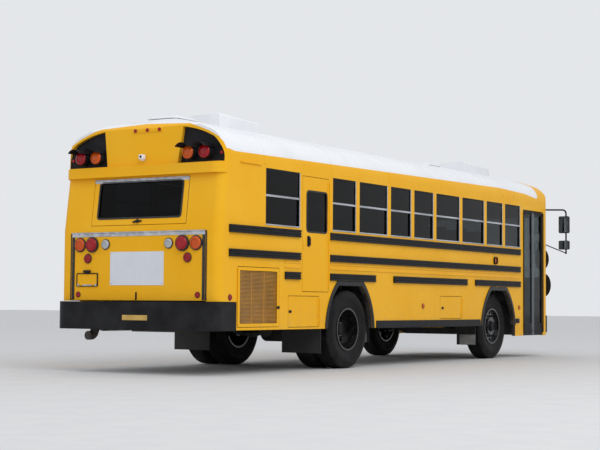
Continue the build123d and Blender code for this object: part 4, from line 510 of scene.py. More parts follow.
# Column names: finish, material, colour, second colour, roughness, metallic, coat, size of the patches,
# fine grain, relief, gloss, stretch of the grain, spread of the roughness
WORN_FINISHES = (
    ("white", "white_paint", WHITE, WHITE_GREY, 0.34, 0, 0.1, 2.2, 300, 0.004, 0.5),
    ("trim", "black_trim_paint", (0.012, 0.012, 0.014), (0.022, 0.022, 0.024), 0.34,
     0, 0, 4, 90, 0.03, 0.08),
    ("arch", "arch_black_gloss", (0.012, 0.012, 0.014), (0.02, 0.02, 0.022), 0.25, 0, 0.2, 4, 90, 0.02, 0.1),
    ("black", "satin_black_metal", (0.014, 0.014, 0.015), (0.022, 0.022, 0.024), 0.42,
     0, 0, 5, 140, 0.05, 0.08),
    ("aluminium", "brushed_aluminium", (0.58, 0.6, 0.63), (0.42, 0.43, 0.46), 0.34,
     0.85, 0, 14, 220, 0.05, 0.5, (0.15, 1, 1)),
    ("door_aluminium", "door_edge_aluminium", (0.3, 0.34, 0.37), (0.22, 0.25, 0.28), 0.4,
     0.6, 0, 14, 220, 0.05, 0.5, (1, 1, 0.15)),
    # Body yellow darkened to brown: painted shade for the recessed radiator mesh
    ("grille", "grille_yellow_dusty", (0.46, 0.2, 0.01), (0.36, 0.17, 0.02), 0.5, 0, 0, 5, 120, 0.08, 0.5),
    ("chrome", "bright_chrome", (0.75, 0.75, 0.76), (0.62, 0.62, 0.64), 0.14,
     1.0, 0, 9, 90, 0.01, 0.5, (1, 1, 1), 0.08),
    ("floor", "ribbed_floor_rubber", (0.035, 0.036, 0.04), (0.07, 0.068, 0.062), 0.66,
     0, 0, 5, 160, 0.25, 0.5),
    ("vinyl", "seat_vinyl_grain", (0.02, 0.03, 0.032), (0.035, 0.048, 0.05), 0.46, 0, 0, 7, 330, 0.3, 0.5),
    ("dash", "grained_plastic", (0.02, 0.02, 0.021), (0.036, 0.036, 0.037), 0.55, 0, 0, 8, 280, 0.3, 0.5),
    ("iron", "oily_cast_iron", (0.045, 0.043, 0.04), (0.085, 0.075, 0.06), 0.55, 0.4, 0, 9, 70, 0.5, 0.5),
    ("core", "radiator_core", (0.3, 0.3, 0.31), (0.2, 0.2, 0.21), 0.42, 0.7, 0, 6, 150, 0.08, 0.5),
    ("frame", "frame_paint_dusty", (0.016, 0.016, 0.017), (0.06, 0.054, 0.046), 0.55,
     0, 0, 6, 80, 0.35, 0.5),
    ("exhaust", "heated_steel", (0.075, 0.068, 0.062), (0.045, 0.038, 0.033), 0.5, 0.6, 0, 8, 90, 0.3, 0.5),
    ("flap", "flap_rubber", (0.01, 0.01, 0.01), (0.024, 0.023, 0.022), 0.58, 0, 0, 6, 120, 0.2, 0.5),
    # Pale grey: painted sunlight on the lower part of the front flaps
    ("pale_flap", "pale_flap_rubber", (0.33, 0.33, 0.32), (0.2, 0.19, 0.18), 0.6, 0, 0, 5, 110, 0.2, 0.5),
    ("rubber", "gasket_rubber", (0.012, 0.012, 0.012), (0.024, 0.024, 0.024), 0.55,
     0, 0, 10, 150, 0.15, 0.5),
    ("rim", "rim_black_gloss", (0.008, 0.008, 0.009), (0.018, 0.017, 0.017), 0.24,
     0, 0.6, 11, 60, 0.05, 0.3),
    ("tyre", "tyre_rubber", (0.008, 0.008, 0.009), (0.019, 0.018, 0.017), 0.52, 0, 0, 7, 110, 0.3, 0.1),
    ("sign", "sign_white_film", (0.66, 0.69, 0.74), (0.63, 0.66, 0.71), 0.3, 0, 0, 5, 200, 0.03, 0.5),
    ("gold", "gold_plate_film", (0.62, 0.4, 0.1), (0.5, 0.32, 0.08), 0.35, 0.3, 0, 8, 150, 0.04, 0.5),
    ("stop_red", "stop_arm_red", (0.45, 0.012, 0.012), (0.36, 0.014, 0.014), 0.35, 0, 0, 4, 120, 0.03, 0.5),
    ("mirror", "silvered_glass", (0.72, 0.74, 0.76), (0.66, 0.68, 0.7), 0.05,
     1.0, 0, 3, 40, 0.005, 0.5, (1, 1, 1), 0.02),
)

FINISHES = {
    "yellow": yellow_paint(),
    "two_tone": two_tone_paint(),
    "glass": tinted_glass("tinted_glass", (0.035, 0.042, 0.046), 0.03),
    "door_glass": tinted_glass("door_glass", (0.12, 0.145, 0.15), 0.03),
    "clear_glass": tinted_glass("front_glass", (0.62, 0.68, 0.66), 0.02),
    "red": lens_finish("red_lens", (0.46, 0.006, 0.014), (0.24, 0.002, 0.006)),
    "amber": lens_finish("amber_lens", (0.80, 0.13, 0.004), (0.50, 0.06, 0.001)),
    "clear": lens_finish("clear_lens", (0.66, 0.68, 0.70), (0.34, 0.36, 0.38)),
}
for finish, *settings in WORN_FINISHES:
    FINISHES[finish] = worn_finish(*settings)

# Finish of each of the record's slots
SLOT_FINISH = {
    "body_yellow": "yellow", "roof_white": "white", "trim_black": "trim", "frame_black": "black",
    "dark_glass": "glass", "floor_grey": "floor", "seat_vinyl": "vinyl", "dash_plastic": "dash",
    "engine_iron": "iron", "radiator_metal": "core", "chassis_steel": "frame", "exhaust_steel": "exhaust",
    "flap_rubber": "flap", "lamp_red": "red", "lamp_clear": "clear", "rim_black": "rim", "tyre": "tyre",
}
# Nodes whose finish differs from their slot's
NODE_FINISH = {
    "arch_trims": "arch", "roof": "two_tone", "rear_cap": "two_tone", "front_cap": "two_tone",
    "windshield": "clear_glass", "stop_arm": "stop_red",
}


def side_pane(depth):
    # Faces of a pane that lies this far behind the side skin, about 6 mm thick
    def test(centre, normal):
        return abs(normal.y) > 0.99 and depth - 0.001 < HALF_WIDTH - abs(centre.y) < depth + 0.007
    return test


def rear_slope(centre):
    # Distance behind the leaning rear skin, and distance up it from the belt
    behind = (centre.x - at(0)) * math.cos(REAR_LEAN) - (centre.z - BELT_Z) * math.sin(REAR_LEAN)
    up = (centre.x - at(0)) * math.sin(REAR_LEAN) + (centre.z - BELT_Z) * math.cos(REAR_LEAN)
    return behind, up


def rear_pane(centre, normal):
    lean = normal.x * math.cos(REAR_LEAN) - normal.z * math.sin(REAR_LEAN)
    return abs(lean) > 0.99 and 0.014 < rear_slope(centre)[0] < 0.022


def rear_window_strip(centre, normal):
    # Hinge strip above the rear window
    behind, up = rear_slope(centre)
    return up > 0.587 and behind < -0.001


def engine_door_hinge(centre, normal):
    # Hinge strip along the engine door's top
    return centre.z > 1.66 and centre.x < at(-0.001)


def arch_return(centre, normal):
    # Inner edges of the walls round the wheel openings, and the walls' undersides
    near_axle = min(abs(centre.x - at(axle)) for axle in (REAR_AXLE, FRONT_AXLE)) < 0.76
    return abs(normal.y) < 0.5 and centre.z < 1.2 and near_axle


def windshield_return(centre, normal):
    # Edges of the windshield opening, where its rubber sits
    inside = WINDSHIELD_LOW < centre.z < WINDSHIELD_HIGH and abs(centre.y) < WINDSHIELD_HALF
    return abs(normal.x) < 0.6 and inside and centre.x > at(9.6)


def grille_slat(centre, normal):
    # Slats behind the radiator door's face, inside its rim
    sunk = HALF_WIDTH - abs(centre.y) > 0.012
    return sunk and at(0.44) <= centre.x <= at(1.25) and 0.615 < centre.z < 1.253


def stop_lamp(centre, normal):
    # Lamps that stand out of either face of the stop arm
    out = centre.y - HALF_WIDTH
    return out > 0.063 or (out < 0.047 and abs(centre.z - STOP_ARM_Z) > 0.08)


# Parts of a node with a finish of their own: node, tests for the faces and their finishes
ACCENTS = {
    "exit_door_right": ((side_pane(0.012), "glass"),),
    "exit_door_left": ((side_pane(0.012), "glass"),),
    "rear_window": ((rear_window_strip, "aluminium"), (rear_pane, "glass")),
    "engine_door": ((engine_door_hinge, "aluminium"),),
    "entrance_leaf_rear": ((side_pane(0.018), "door_glass"),),
    "entrance_leaf_front": ((side_pane(0.018), "door_glass"),),
    "radiator_door": ((grille_slat, "grille"),),
    "front_wall": ((windshield_return, "rubber"),),
    "side_wall_right": ((arch_return, "frame"),),
    "side_wall_left": ((arch_return, "frame"),),
    "stop_arm": ((stop_lamp, "red"),),
}
# Nodes that other pieces of this scene stand for
REBUILT = ("front_tyre_left", "front_tyre_right", "rear_tyre_left", "rear_tyre_right", "tail_lamps",
           "body_lamps", "passenger_seats", "driver_seat")
# Nodes whose facets follow a curve, so that none are merged
CURVED = ("roof", "rear_cap", "front_cap")
# Nodes with flat faces only, shown as they are
PLAIN = ("window_glass",)
# Nodes whose edges are rounded over: node, width of the round
ROUNDED = {"arch_trims": 0.009, "roof_units": 0.012, "bumpers": 0.004, "rub_rails": 0.003}


def dress_nodes():
    # Every remaining node is shown as a merged copy with smooth bends and its own finish
    for part in frame["record"]["subparts"]:
        node, slot = part["node"], part["material_slot"]
        source = NODES[node]
        finish = NODE_FINISH.get(node, SLOT_FINISH[slot])
        if node in REBUILT:
            continue
        if node in PLAIN:
            source.data.materials.clear()
            source.data.materials.append(FINISHES[finish])
            continue
        skin = bpy.data.objects.new("skin_" + node, source.data.copy())
        skin.matrix_world = source.matrix_world
        bpy.context.collection.objects.link(skin)
        take(skin)
        bpy.ops.mesh.customdata_custom_splitnormals_clear()
        pick_all(skin)
        bpy.ops.mesh.remove_doubles(threshold=0.00005)
        if node not in CURVED:
            bpy.ops.mesh.dissolve_limited(angle_limit=math.radians(0.5))
        leave_edit()
        if node in ROUNDED:
            worked(skin, "BEVEL", width=ROUNDED[node], segments=3, limit_method="ANGLE",
                   angle_limit=math.radians(50))
        smooth(skin, 32)
        worked(skin, "WEIGHTED_NORMAL", keep_sharp=True)
        fit_out(skin, "skin_" + node, finish, body_of(source)[0], slot, node)
        for number, (wanted, accent) in enumerate(ACCENTS.get(node, ())):
            skin.data.materials.append(FINISHES[accent])
            for face in skin.data.polygons:
                if wanted(face.center, face.normal):
                    face.material_index = number + 1


# Wheels

TREAD_GROOVES = (-0.066, -0.022, 0.022, 0.066)
GROOVE_HALF = 0.005
GROOVE_DEEP = 0.011
TREAD_HALF = 0.104
TYRE_SIDES = 96
# Cuts across the shoulders: their depth, and one for this many of the tyre's sides
SIPE_DEEP = 0.007
SIPE_STEP = 3
# Steps from the tread's edge to the bead: width inward along the face, and height out of it
TYRE_SIDE_STEPS = (
    (0.006, 0.006), (0.020, 0.016), (0.050, 0.010), (0.012, 0.004), (0.004, 0.003), (0.006, 0),
    (0.004, -0.003), (0.020, -0.002), (0.006, 0.003), (0.006, -0.003), (0.040, -0.006), (0.036, -0.010),
    (0.026, -0.006),
)
NUT_COUNT = 10
NUT_CIRCLE = 0.168
# From the outer tyre's side in to the nuts' seat, and from there out to the hub's face
FRONT_DISH = 0.060
REAR_DISH = 0.215
FRONT_HUB = 0.045
REAR_HUB = 0.085


def tyre_shape():
    # One tyre round the Y axis at the world's centre, worked inward from its tread
    drop_selection()
    bpy.ops.mesh.primitive_cylinder_add(vertices=TYRE_SIDES, radius=TYRE_R, depth=2 * TREAD_HALF,
                                        rotation=TURNS["Y"])
    tyre = bpy.context.object
    fix_place(tyre)
    pick_faces(tyre, lambda centre, normal: abs(normal.y) > 0.9)
    for inward, outward in TYRE_SIDE_STEPS:
        bpy.ops.mesh.inset(thickness=inward, depth=outward, use_even_offset=True)
    bpy.ops.mesh.delete(type="FACE")
    bpy.ops.mesh.select_mode(type="EDGE")
    bpy.ops.mesh.select_all(action="DESELECT")
    bpy.ops.mesh.select_non_manifold()
    bpy.ops.mesh.bridge_edge_loops()
    bpy.ops.mesh.select_all(action="SELECT")
    bpy.ops.mesh.normals_make_consistent(inside=False)
    for groove in TREAD_GROOVES:
        for edge in (groove - GROOVE_HALF, groove + GROOVE_HALF):
            bpy.ops.mesh.select_all(action="SELECT")
            bpy.ops.mesh.bisect(plane_co=(0, edge, 0), plane_no=(0, 1, 0))
    leave_edit()

    def in_groove(centre, normal):
        return math.hypot(centre.x, centre.z) > TYRE_R - 0.004 and any(
            abs(centre.y - groove) < GROOVE_HALF for groove in TREAD_GROOVES)

    pick_faces(tyre, in_groove)
    bpy.ops.mesh.extrude_region_shrink_fatten(TRANSFORM_OT_shrink_fatten={"value": -GROOVE_DEEP})
    leave_edit()

    def in_sipe(centre, normal):
        turn = math.atan2(centre.z, centre.x) / math.tau * TYRE_SIDES
        far_out = math.hypot(centre.x, centre.z) > TYRE_R - 0.010
        on_shoulder = abs(centre.y) > TREAD_GROOVES[3] + GROOVE_HALF
        return far_out and on_shoulder and int(turn + TYRE_SIDES) % SIPE_STEP == 0

    pick_faces(tyre, in_sipe)
    bpy.ops.mesh.extrude_region_shrink_fatten(TRANSFORM_OT_shrink_fatten={"value": -SIPE_DEEP})
    leave_edit()
    smooth(tyre, 28)
    return tyre


def lug_nuts(seat, hub_face):
    # Nuts on studs round the hub, a hub cap and a valve, for a wheel that faces -Y at the world's centre
    parts = []
    for number in range(NUT_COUNT):
        turn = math.tau * number / NUT_COUNT
        x, z = NUT_CIRCLE * math.cos(turn), NUT_CIRCLE * math.sin(turn)
        parts += [disc("nut", (x, -seat - 0.014, z), "Y", 0.017, 0.028, 0.003, 6),
                  disc("stud", (x, -seat - 0.032, z), "Y", 0.010, 0.016, 0.002, 10)]
    cap = disc("cap", (0, -hub_face - 0.006, 0), "Y", 0.070, 0.014, 0.005, 28)
    pick_faces(cap, lambda centre, normal: normal.y < -0.9)
    bpy.ops.mesh.inset(thickness=0.018, depth=0.004)
    bpy.ops.mesh.inset(thickness=0.010, depth=-0.003)
    leave_edit()
    valve = disc("valve", (0.235, -seat - 0.012, 0.02), "Y", 0.006, 0.060, 0.002, 8)
    made = joined(parts + [cap, valve])
    smooth(made, 30)
    return made


def add_wheels():
    shape = tyre_shape()
    for place, axle, outer, dish, hub, twin in (
            ("front", FRONT_AXLE, FRONT_TYRE_OUT, FRONT_DISH, FRONT_HUB, False),
            ("rear", REAR_AXLE, REAR_TYRE_OUT, REAR_DISH, REAR_HUB, True)):
        tyre_middles = [outer - TYRE_WIDTH / 2]
        if twin:
            tyre_middles.append(outer - TYRE_WIDTH - TWIN_GAP - TYRE_WIDTH / 2)
        nuts = lug_nuts(outer - dish, outer - dish + hub)
        for side, sign in SIDES:
            body = f"{place}_wheel_{side}"
            tyre = joined([copied(shape, (at(axle), sign * middle, TYRE_R), mirror=sign > 0)
                           for middle in tyre_middles])
            fit_out(tyre, f"{place}_tread_{side}", "tyre", body, "tyre", f"{place}_tyre_{side}")
            set_of_nuts = copied(nuts, (at(axle), 0, TYRE_R), mirror=sign > 0)
            fit_out(set_of_nuts, f"{place}_nuts_{side}", "black", body, "rim_black")
        bpy.data.objects.remove(nuts)
    bpy.data.objects.remove(shape)


# Lamps

def round_lamp(name, centre, axis, toward, radius, reach, finish, body, slot, *stands_for, ring="rubber"):
    # Ring and domed lens on a skin, reaching outward from centre along one axis
    way = "XYZ".index(axis)
    ring_at, lens_at = list(centre), list(centre)
    ring_at[way] += toward * reach * 0.3
    lens_at[way] += toward * reach * 0.5
    rim = disc(name + "_ring", ring_at, axis, radius, reach * 0.6, min(0.004, reach * 0.2), 40)
    lens = disc(name, lens_at, axis, radius * 0.86, reach, reach * 0.4, 40)
    pick_faces(lens, lambda centre, normal: normal[way] * toward > 0.9)
    bpy.ops.mesh.inset(thickness=radius * 0.25, depth=0.0008)
    bpy.ops.mesh.inset(thickness=radius * 0.02, depth=-0.0008)
    leave_edit()
    smooth(rim)
    smooth(lens, 50)
    fit_out(rim, name + "_ring", ring, body, "trim_black")
    fit_out(lens, name, finish, body, slot, *stands_for)


# Column names: name, distance from the middle, height, radius, reach, finish
TAIL_LAMPS = (
    ("tail_amber", 0.894, 1.568, 0.090, 0.030, "amber"),
    ("tail_red", 0.696, 1.567, 0.096, 0.052, "red"),
    ("tail_clear", 0.487, 1.569, 0.065, 0.022, "clear"),
    ("tail_small_red", 0.769, 1.396, 0.060, 0.022, "red"),
    ("tail_reflector", 0.920, 0.953, 0.038, 0.010, "red"),
)
# Column names: name, station, height, radius, finish
SIDE_LAMPS = (
    ("side_reflector_rear", 0.234, 0.926, 0.038, "red"),
    ("side_turn_lamp", FRONT_AXLE - 0.132, 1.581, 0.045, "amber"),
    ("side_reflector_middle", 5.144, 0.840, 0.038, "amber"),
    ("side_reflector_front", 8.600, 0.825, 0.038, "amber"),
)
# Depth of the front wall's bow at its corners
FRONT_BOW = 0.042
# Column names: name, distance from the middle, height, radius, finish
HEAD_LAMPS = (
    ("head_lamp_outer", 0.930, 0.860, 0.090, "clear"),
    ("head_lamp_inner", 0.720, 0.860, 0.090, "clear"),
    ("front_turn_lamp", 1.040, 1.080, 0.055, "amber"),
)


def add_lamps():
    stands = ("tail_lamps",)
    for name, y, z, radius, reach, finish in TAIL_LAMPS:
        for side, sign in SIDES:
            round_lamp(f"{name}_{side}", (at(0), sign * y, z), "X", -1, radius, reach, finish, "engine_door",
                       "lamp_red", *stands)
            stands = ()
    stands = ("body_lamps",)
    for name, station, z, radius, finish in SIDE_LAMPS:
        for side, sign in SIDES:
            round_lamp(f"{name}_{side}", (at(station), sign * HALF_WIDTH, z), "Y", sign, radius, 0.012,
                       finish, "coach", "lamp_clear", *stands)
            stands = ()
    for name, y, z, radius, finish in HEAD_LAMPS:
        # The front wall is bowed, and the lamps sit 30 mm into it
        face_x = at(BODY_LENGTH) - FRONT_BOW * (y / HALF_WIDTH) ** 2 - 0.03
        for side, sign in SIDES:
            round_lamp(f"{name}_{side}", (face_x, sign * y, z), "X", 1, radius, 0.04, finish, "coach",
                       "lamp_clear", ring="chrome")


def add_warning_lenses():
    # Red outside, amber inside, at the rear and the front
    for end, face_x, toward in (("rear", at(0.050), -1), ("front", at(BODY_LENGTH - 0.034), 1)):
        for colour, y in (("red", 0.957), ("amber", 0.715)):
            for side, sign in SIDES:
                name = f"{end}_warning_{colour}_{side}"
                place = (face_x + toward * 0.004, sign * y, WARNING_LAMP_Z)
                lens = disc(name, place, "X", 0.080, 0.020, 0.008, 40)
                pick_faces(lens, lambda centre, normal: normal.x * toward > 0.9)
                bpy.ops.mesh.inset(thickness=0.030, depth=0.004)
                bpy.ops.mesh.inset(thickness=0.020, depth=0.002)
                leave_edit()
                smooth(lens, 50)
                fit_out(lens, name, colour, "coach", "lamp_red")


# Side windows: the last stands by itself, and ahead of it narrow (N) and wide (W) sections share posts
LAST_WINDOW = (0.980, 0.792)
FIRST_SECTION = 2.571
SECTIONS = "NWNNWWNN"
SECTION_WIDTH = {"N": 0.705, "W": 0.883}
POST = 0.091
# The driver's window on the left: station, width, top
DRIVER_WINDOW = (8.810, 0.740, 2.450)
RAIL_IN = 1.205


def window_frames():
    # Station, width and top of each side window
    places = [(*LAST_WINDOW, WINDOW_TOP)]
    station = FIRST_SECTION
    for width in (SECTION_WIDTH[kind] for kind in SECTIONS):
        places.append((station, width - POST, WINDOW_TOP))
        station += width
    return places


def add_window_trim():
    # Aluminium middle rail, forward jamb and sill on every side window; the aluminium frames' rear jambs and
    # tops stay black as painted shade
    for side, sign in SIDES:
        pieces = []
        for start, width, top in window_frames() + [DRIVER_WINDOW] * (sign > 0):
            end = start + width
            pieces += [
                on_side(sign, start + 0.004, end - 0.004, MID_RAIL_Z, MID_RAIL_Z + 0.026, RAIL_IN, 1.2175),
                on_side(sign, end - 0.019, end - 0.002, SILL_Z + 0.002, top - 0.004, RAIL_IN, 1.2195),
                on_side(sign, start + 0.002, end - 0.002, SILL_Z + 0.002, SILL_Z + 0.019, RAIL_IN, 1.2215),
            ]
        bars(f"window_trim_{side}", "aluminium", "coach", "frame_black", pieces)


BUMPER_FACE = at(-0.100)


def lean_back(piece):
    # Turns a piece made on an upright plane at X 0 and Z 0 onto the leaning rear skin above the belt
    piece.rotation_euler = (0, REAR_LEAN, 0)
    piece.location = (at(0), 0, BELT_Z)
    fix_place(piece)
    return piece


def add_gaskets():
    rear = lean_back(ring_frame("gasket", (-0.004, -0.655, 0.130), (0.006, 0.655, 0.606), "X", 0.045, 0.022))
    fit_out(rear, "rear_window_gasket", "rubber", "rear_window", "trim_black")
    for side, sign in SIDES:
        corners = on_skin(sign, 1.913, 2.437, 1.771, 2.319, 0.004, 0.004)
        fit_out(ring_frame("gasket", *corners, "Y", 0.062, 0.022), f"exit_gasket_{side}", "rubber",
                f"exit_door_{side}", "trim_black")


def add_rear_details():
    fit_out(bar("rear_sign", *on_back(-0.413, 0.413, 1.067, 1.475, 0.003), 0.001), "rear_sign", "sign",
            "engine_door", "roof_white")
    rivets = [disc("rivet", (at(0) - 0.0035, y, z), "X", 0.007, 0.004, 0.001, 12)
              for y in (-0.39, 0.39) for z in (1.09, 1.452)]
    fit_out(joined(rivets), "sign_rivets", "aluminium", "engine_door", "frame_black")
    bars("engine_door_seals", "rubber", "engine_door", "trim_black", [
        on_back(y, y + 0.037, 0.893, 1.664, 0.007) for y in (-1.022, 0.985)])
    bars("rear_wall_seals", "rubber", "coach", "trim_black", [
        on_back(y, y + 0.014, 0.882, 1.712, 0.006) for y in (-1.050, 1.036)])
    bars("engine_door_latch", "black", "engine_door", "trim_black", [
        on_back(-0.009, 0.015, 0.890, 0.985, 0.005), on_back(-0.002, 0.008, 0.905, 0.950, 0.010, 0)])
    holder = joined([
        ring_frame("holder", *on_back(0.605, 0.945, 1.052, 1.218, 0.012), "X", 0.012, 0.012),
        bar("lamp", *on_back(0.722, 0.826, 1.222, 1.254, 0.030), 0.006),
        bar("stem", *on_back(0.752, 0.796, 1.205, 1.236, 0.020), 0.004)])
    fit_out(holder, "plate_holder", "black", "engine_door", "trim_black")
    clips = [bar("foot", *on_back(y - 0.016, y + 0.016, 1.058, 1.084, 0.015, -0.001), 0.003)
             for y in (0.635, 0.915)]
    clips.append(bar("middle", *on_back(0.70, 0.85, 1.060, 1.078, 0.013, -0.001), 0.003))
    fit_out(joined(clips), "plate_clips", "aluminium", "engine_door", "frame_black")
    latch = lean_back(joined([
        bar("base", (-0.012, -0.060, 0.092), (0.001, 0.050, 0.112), 0.004),
        bar("lever", (-0.026, -0.022, 0.082), (-0.002, 0.070, 0.100), 0.005),
        disc("pivot", (-0.010, 0.0, 0.100), "X", 0.022, 0.022, 0.004, 20)]))
    smooth(latch, 35)
    fit_out(latch, "rear_window_latch", "black", "rear_window", "trim_black")
    plate = bar("plate", (BUMPER_FACE - 0.0002, -0.250, 0.646), (BUMPER_FACE + 0.004, 0.134, 0.708), 0.0003)
    rim = ring_frame("rim", (BUMPER_FACE - 0.0004, -0.250, 0.646), (BUMPER_FACE + 0.002, 0.134, 0.708), "X",
                     0.006, 0.004)
    fit_out(joined([plate, rim]), "bumper_plate", "gold", "coach", "roof_white")


def add_cap_lamps():
    # Three identification lamps, the camera unit and the small markers on the rear cap
    lamps = {"left": 0.117, "middle": -0.069, "right": -0.254}
    faces = [touch("rear_cap", (at(-1), y, 2.96), (1, 0, 0)).x for y in lamps.values()]
    rearmost = min(faces)
    housing = bar("housing", (rearmost - 0.010, -0.300, 2.930), (max(faces) + 0.03, 0.165, 2.990), 0.012, 4)
    smooth(housing, 40)
    fit_out(housing, "id_lamp_housing", "yellow", "coach", "body_yellow")
    for name, y in lamps.items():
        lens_on(f"id_lamp_{name}", (rearmost - 0.014, y, 2.960), "X", 0.024, 0.016, 0.006, 24, "red",
                "lamp_red")
    face = touch("rear_cap", (at(-1), -0.029, 2.624), (1, 0, 0)).x
    unit = joined([
        bar("box", (face - 0.070, -0.064, 2.602), (face - 0.012, 0.006, 2.658), 0.008, 3),
        bar("foot", (face - 0.050, -0.050, 2.585), (face + 0.010, -0.008, 2.640), 0.005)])
    smooth(unit, 40)
    fit_out(unit, "rear_camera_unit", "white", "coach", "roof_white")
    eye = disc("eye", (face - 0.071, -0.029, 2.630), "X", 0.016, 0.008, 0.002, 20)
    fit_out(eye, "rear_camera_eye", "trim", "coach", "trim_black")
    for side, sign in SIDES:
        lens_on(f"cap_marker_{side}", (at(0.142) - 0.006, sign * 1.150, 2.640), "X", 0.020, 0.020, 0.005, 20,
                "red", "lamp_red")


def add_paired_details():
    # Exit door handles, turn lamp guards and the two pressed beads of each side
    for side, sign in SIDES:
        handle = joined([
            bar("base", *on_skin(sign, 1.940, 2.004, 1.592, 1.728, 0.004, 0.006), 0.006),
            bar("grip", *on_skin(sign, 1.952, 1.984, 1.606, 1.700, -0.018, 0.034), 0.007),
            bar("neck", *on_skin(sign, 1.954, 1.984, 1.680, 1.712, 0, 0.030), 0.006)])
        smooth(handle, 40)
        fit_out(handle, f"exit_handle_{side}", "black", f"exit_door_{side}", "trim_black")
        corners = on_skin(sign, 7.590, 7.706, 1.523, 1.639, 0.001, 0.030)
        guard = ring_frame("guard", *corners, "Y", 0.040, 0.006)
        fit_out(guard, f"turn_lamp_guard_{side}", "black", "coach", "trim_black")
        beads = [on_skin(sign, s0, s1, z, z + 0.014, 0.002, 0.004)
                 for s0, s1 in ((1.400, 1.765), (2.492, 8.628)) for z in (1.318, 1.368)]
        bars(f"side_beads_{side}", "yellow", "coach", "body_yellow", beads, 0.0028)


# Column names: small door on the right side, station and height of its latch
DOOR_LATCHES = (("radiator_door", 1.275, 0.810), ("battery_door", 1.547, 0.760), ("fuel_door", 5.778, 0.812))
# Column names: entrance leaf, stations of its aluminium edge
LEAF_EDGES = (("entrance_leaf_rear", 9.146, 9.186), ("entrance_leaf_front", 9.197, 9.237))


def add_right_details():
    for body, s, z in DOOR_LATCHES:
        latch = joined([
            bar("plate", *on_skin(-1, s - 0.032, s + 0.032, z - 0.017, z + 0.017, 0.002, 0.007), 0.005),
            bar("paddle", *on_skin(-1, s - 0.024, s + 0.010, z - 0.010, z + 0.010, 0, 0.012), 0.003)])
        smooth(latch, 40)
        fit_out(latch, f"{body}_latch", "black", body, "trim_black")
    for body, s0, s1 in LEAF_EDGES:
        bars(f"{body}_edge", "door_aluminium", body, "frame_black", [
            on_side(-1, s0, s1, 0.372, 2.440, 1.2145, 1.2165)], 0.0008)
        middle = (s0 + s1) / 2
        bars(f"{body}_seal", "rubber", body, "trim_black", [
            on_side(-1, middle - 0.006, middle + 0.006, 0.380, 2.430, 1.2150, 1.2185)], 0.0012)
    hook = ring_frame("hook", *on_side(-1, 8.625, 8.715, 0.362, 0.450, 1.160, 1.176), "Y", 0.036, 0.016)
    fit_out(hook, "side_tow_hook", "black", "coach", "trim_black")
    bars("skirt_box", "black", "coach", "trim_black", [
        on_skin(-1, 8.437, 8.599, 0.568, 0.643, 0.002, 0.014)], 0.006)


def add_flap_sunlight():
    # Painted sunlight: a pale patch on the lower part of the black flaps behind the front wheels
    flap_x = at(FRONT_AXLE - 0.670)
    for side, sign in SIDES:
        y0, y1 = sorted((sign * 0.850, sign * 1.126))
        sunlit_patch = bar("sunlit_patch", (flap_x - 0.003, y0, 0.236), (flap_x + 0.001, y1, 0.392), 0.0012)
        fit_out(sunlit_patch, f"flap_panel_{side}", "pale_flap", "coach", "flap_rubber")


# Stations of the roof bows, clear of the hatches and roof units
ROOF_BOWS = (0.940, 2.525, 3.230, 4.113, 5.701, 6.406, 8.170)
SEAM_WIDTH = 0.034
SEAM_THICK = 0.0025
# A height inside the roof, from which its outer face looks outward
ROOF_INSIDE = 1.9


def add_roof_seams():
    # Joint strips over the roof bows, shaped from the roof's own outer face
    def unwanted(centre, normal):
        inner_face = centre.y * normal.y + (centre.z - ROOF_INSIDE) * normal.z < 0.05
        gutter = centre.z < GUTTER_Z + 0.02 or abs(centre.y) > HALF_WIDTH + 0.001
        return inner_face or gutter or abs(normal.x) > 0.5

    strips = []
    for station in ROOF_BOWS:
        strip = copied(bpy.data.objects["skin_roof"])
        enter_edit()
        for offset, ahead in ((0, False), (SEAM_WIDTH, True)):
            bpy.ops.mesh.select_all(action="SELECT")
            bpy.ops.mesh.bisect(plane_co=(at(station) + offset, 0, 0), plane_no=(1, 0, 0),
                                clear_inner=not ahead, clear_outer=ahead)
        leave_edit()
        pick_faces(strip, unwanted)
        bpy.ops.mesh.delete(type="FACE")
        leave_edit()
        worked(strip, "SOLIDIFY", thickness=SEAM_THICK, offset=1)
        strips.append(strip)
    seams = joined(strips)
    smooth(seams, 30)
    fit_out(seams, "roof_seams", "two_tone", "coach", "roof_white")


RIVET_PITCH = 0.115
# Column names: height of the row, first and last station
RIVET_ROWS = ((2.573, 0.960, 9.140), (1.655, 2.700, 8.500), (0.668, 4.050, 6.950))


def add_rivets():
    # Rows of low rivet heads along the eaves, under the windows and above the skirt
    for side, sign in SIDES:
        head = disc("head", (0, sign * (HALF_WIDTH + 0.0005), 0), "Y", 0.0075, 0.004, 0.0014, 10)
        row = joined([
            repeated(copied(head, (at(s0), 0, z)), int((s1 - s0) / RIVET_PITCH) + 1, RIVET_PITCH)
            for z, s0, s1 in RIVET_ROWS])
        smooth(row, 40)
        fit_out(row, f"side_rivets_{side}", "yellow", "coach", "body_yellow")
        bpy.data.objects.remove(head)


# Column names: name, distance to the left of the middle, height
FRONT_MARKERS = (("left", 0.18, 2.930), ("middle", 0.0, 2.930), ("right", -0.18, 2.930),
                 ("outer_left", 0.98, 2.860), ("outer_right", -0.98, 2.860))


def add_front_markers():
    # Identification and clearance lamps on the front cap
    for name, y, z in FRONT_MARKERS:
        x = touch("front_cap", (at(11), y, z), (-1, 0, 0)).x
        lens_on(f"front_marker_{name}", (x, y, z), "X", 0.026, 0.030, 0.008, 24, "amber", "lamp_clear")


def add_mirror_glass():
    back_x = at(BODY_LENGTH + 0.110) - 0.030
    for side, sign in SIDES:
        y0, y1 = sorted((sign * 1.397, sign * 1.555))
        for name, z0, z1 in (("flat", 2.123, 2.418), ("convex", 1.837, 1.993)):
            glass = bar("glass", (back_x - 0.0025, y0, z0 + 0.012), (back_x + 0.001, y1, z1 - 0.012), 0.0012)
            fit_out(glass, f"mirror_{name}_{side}", "mirror", "coach", "trim_black")


# Upholstery

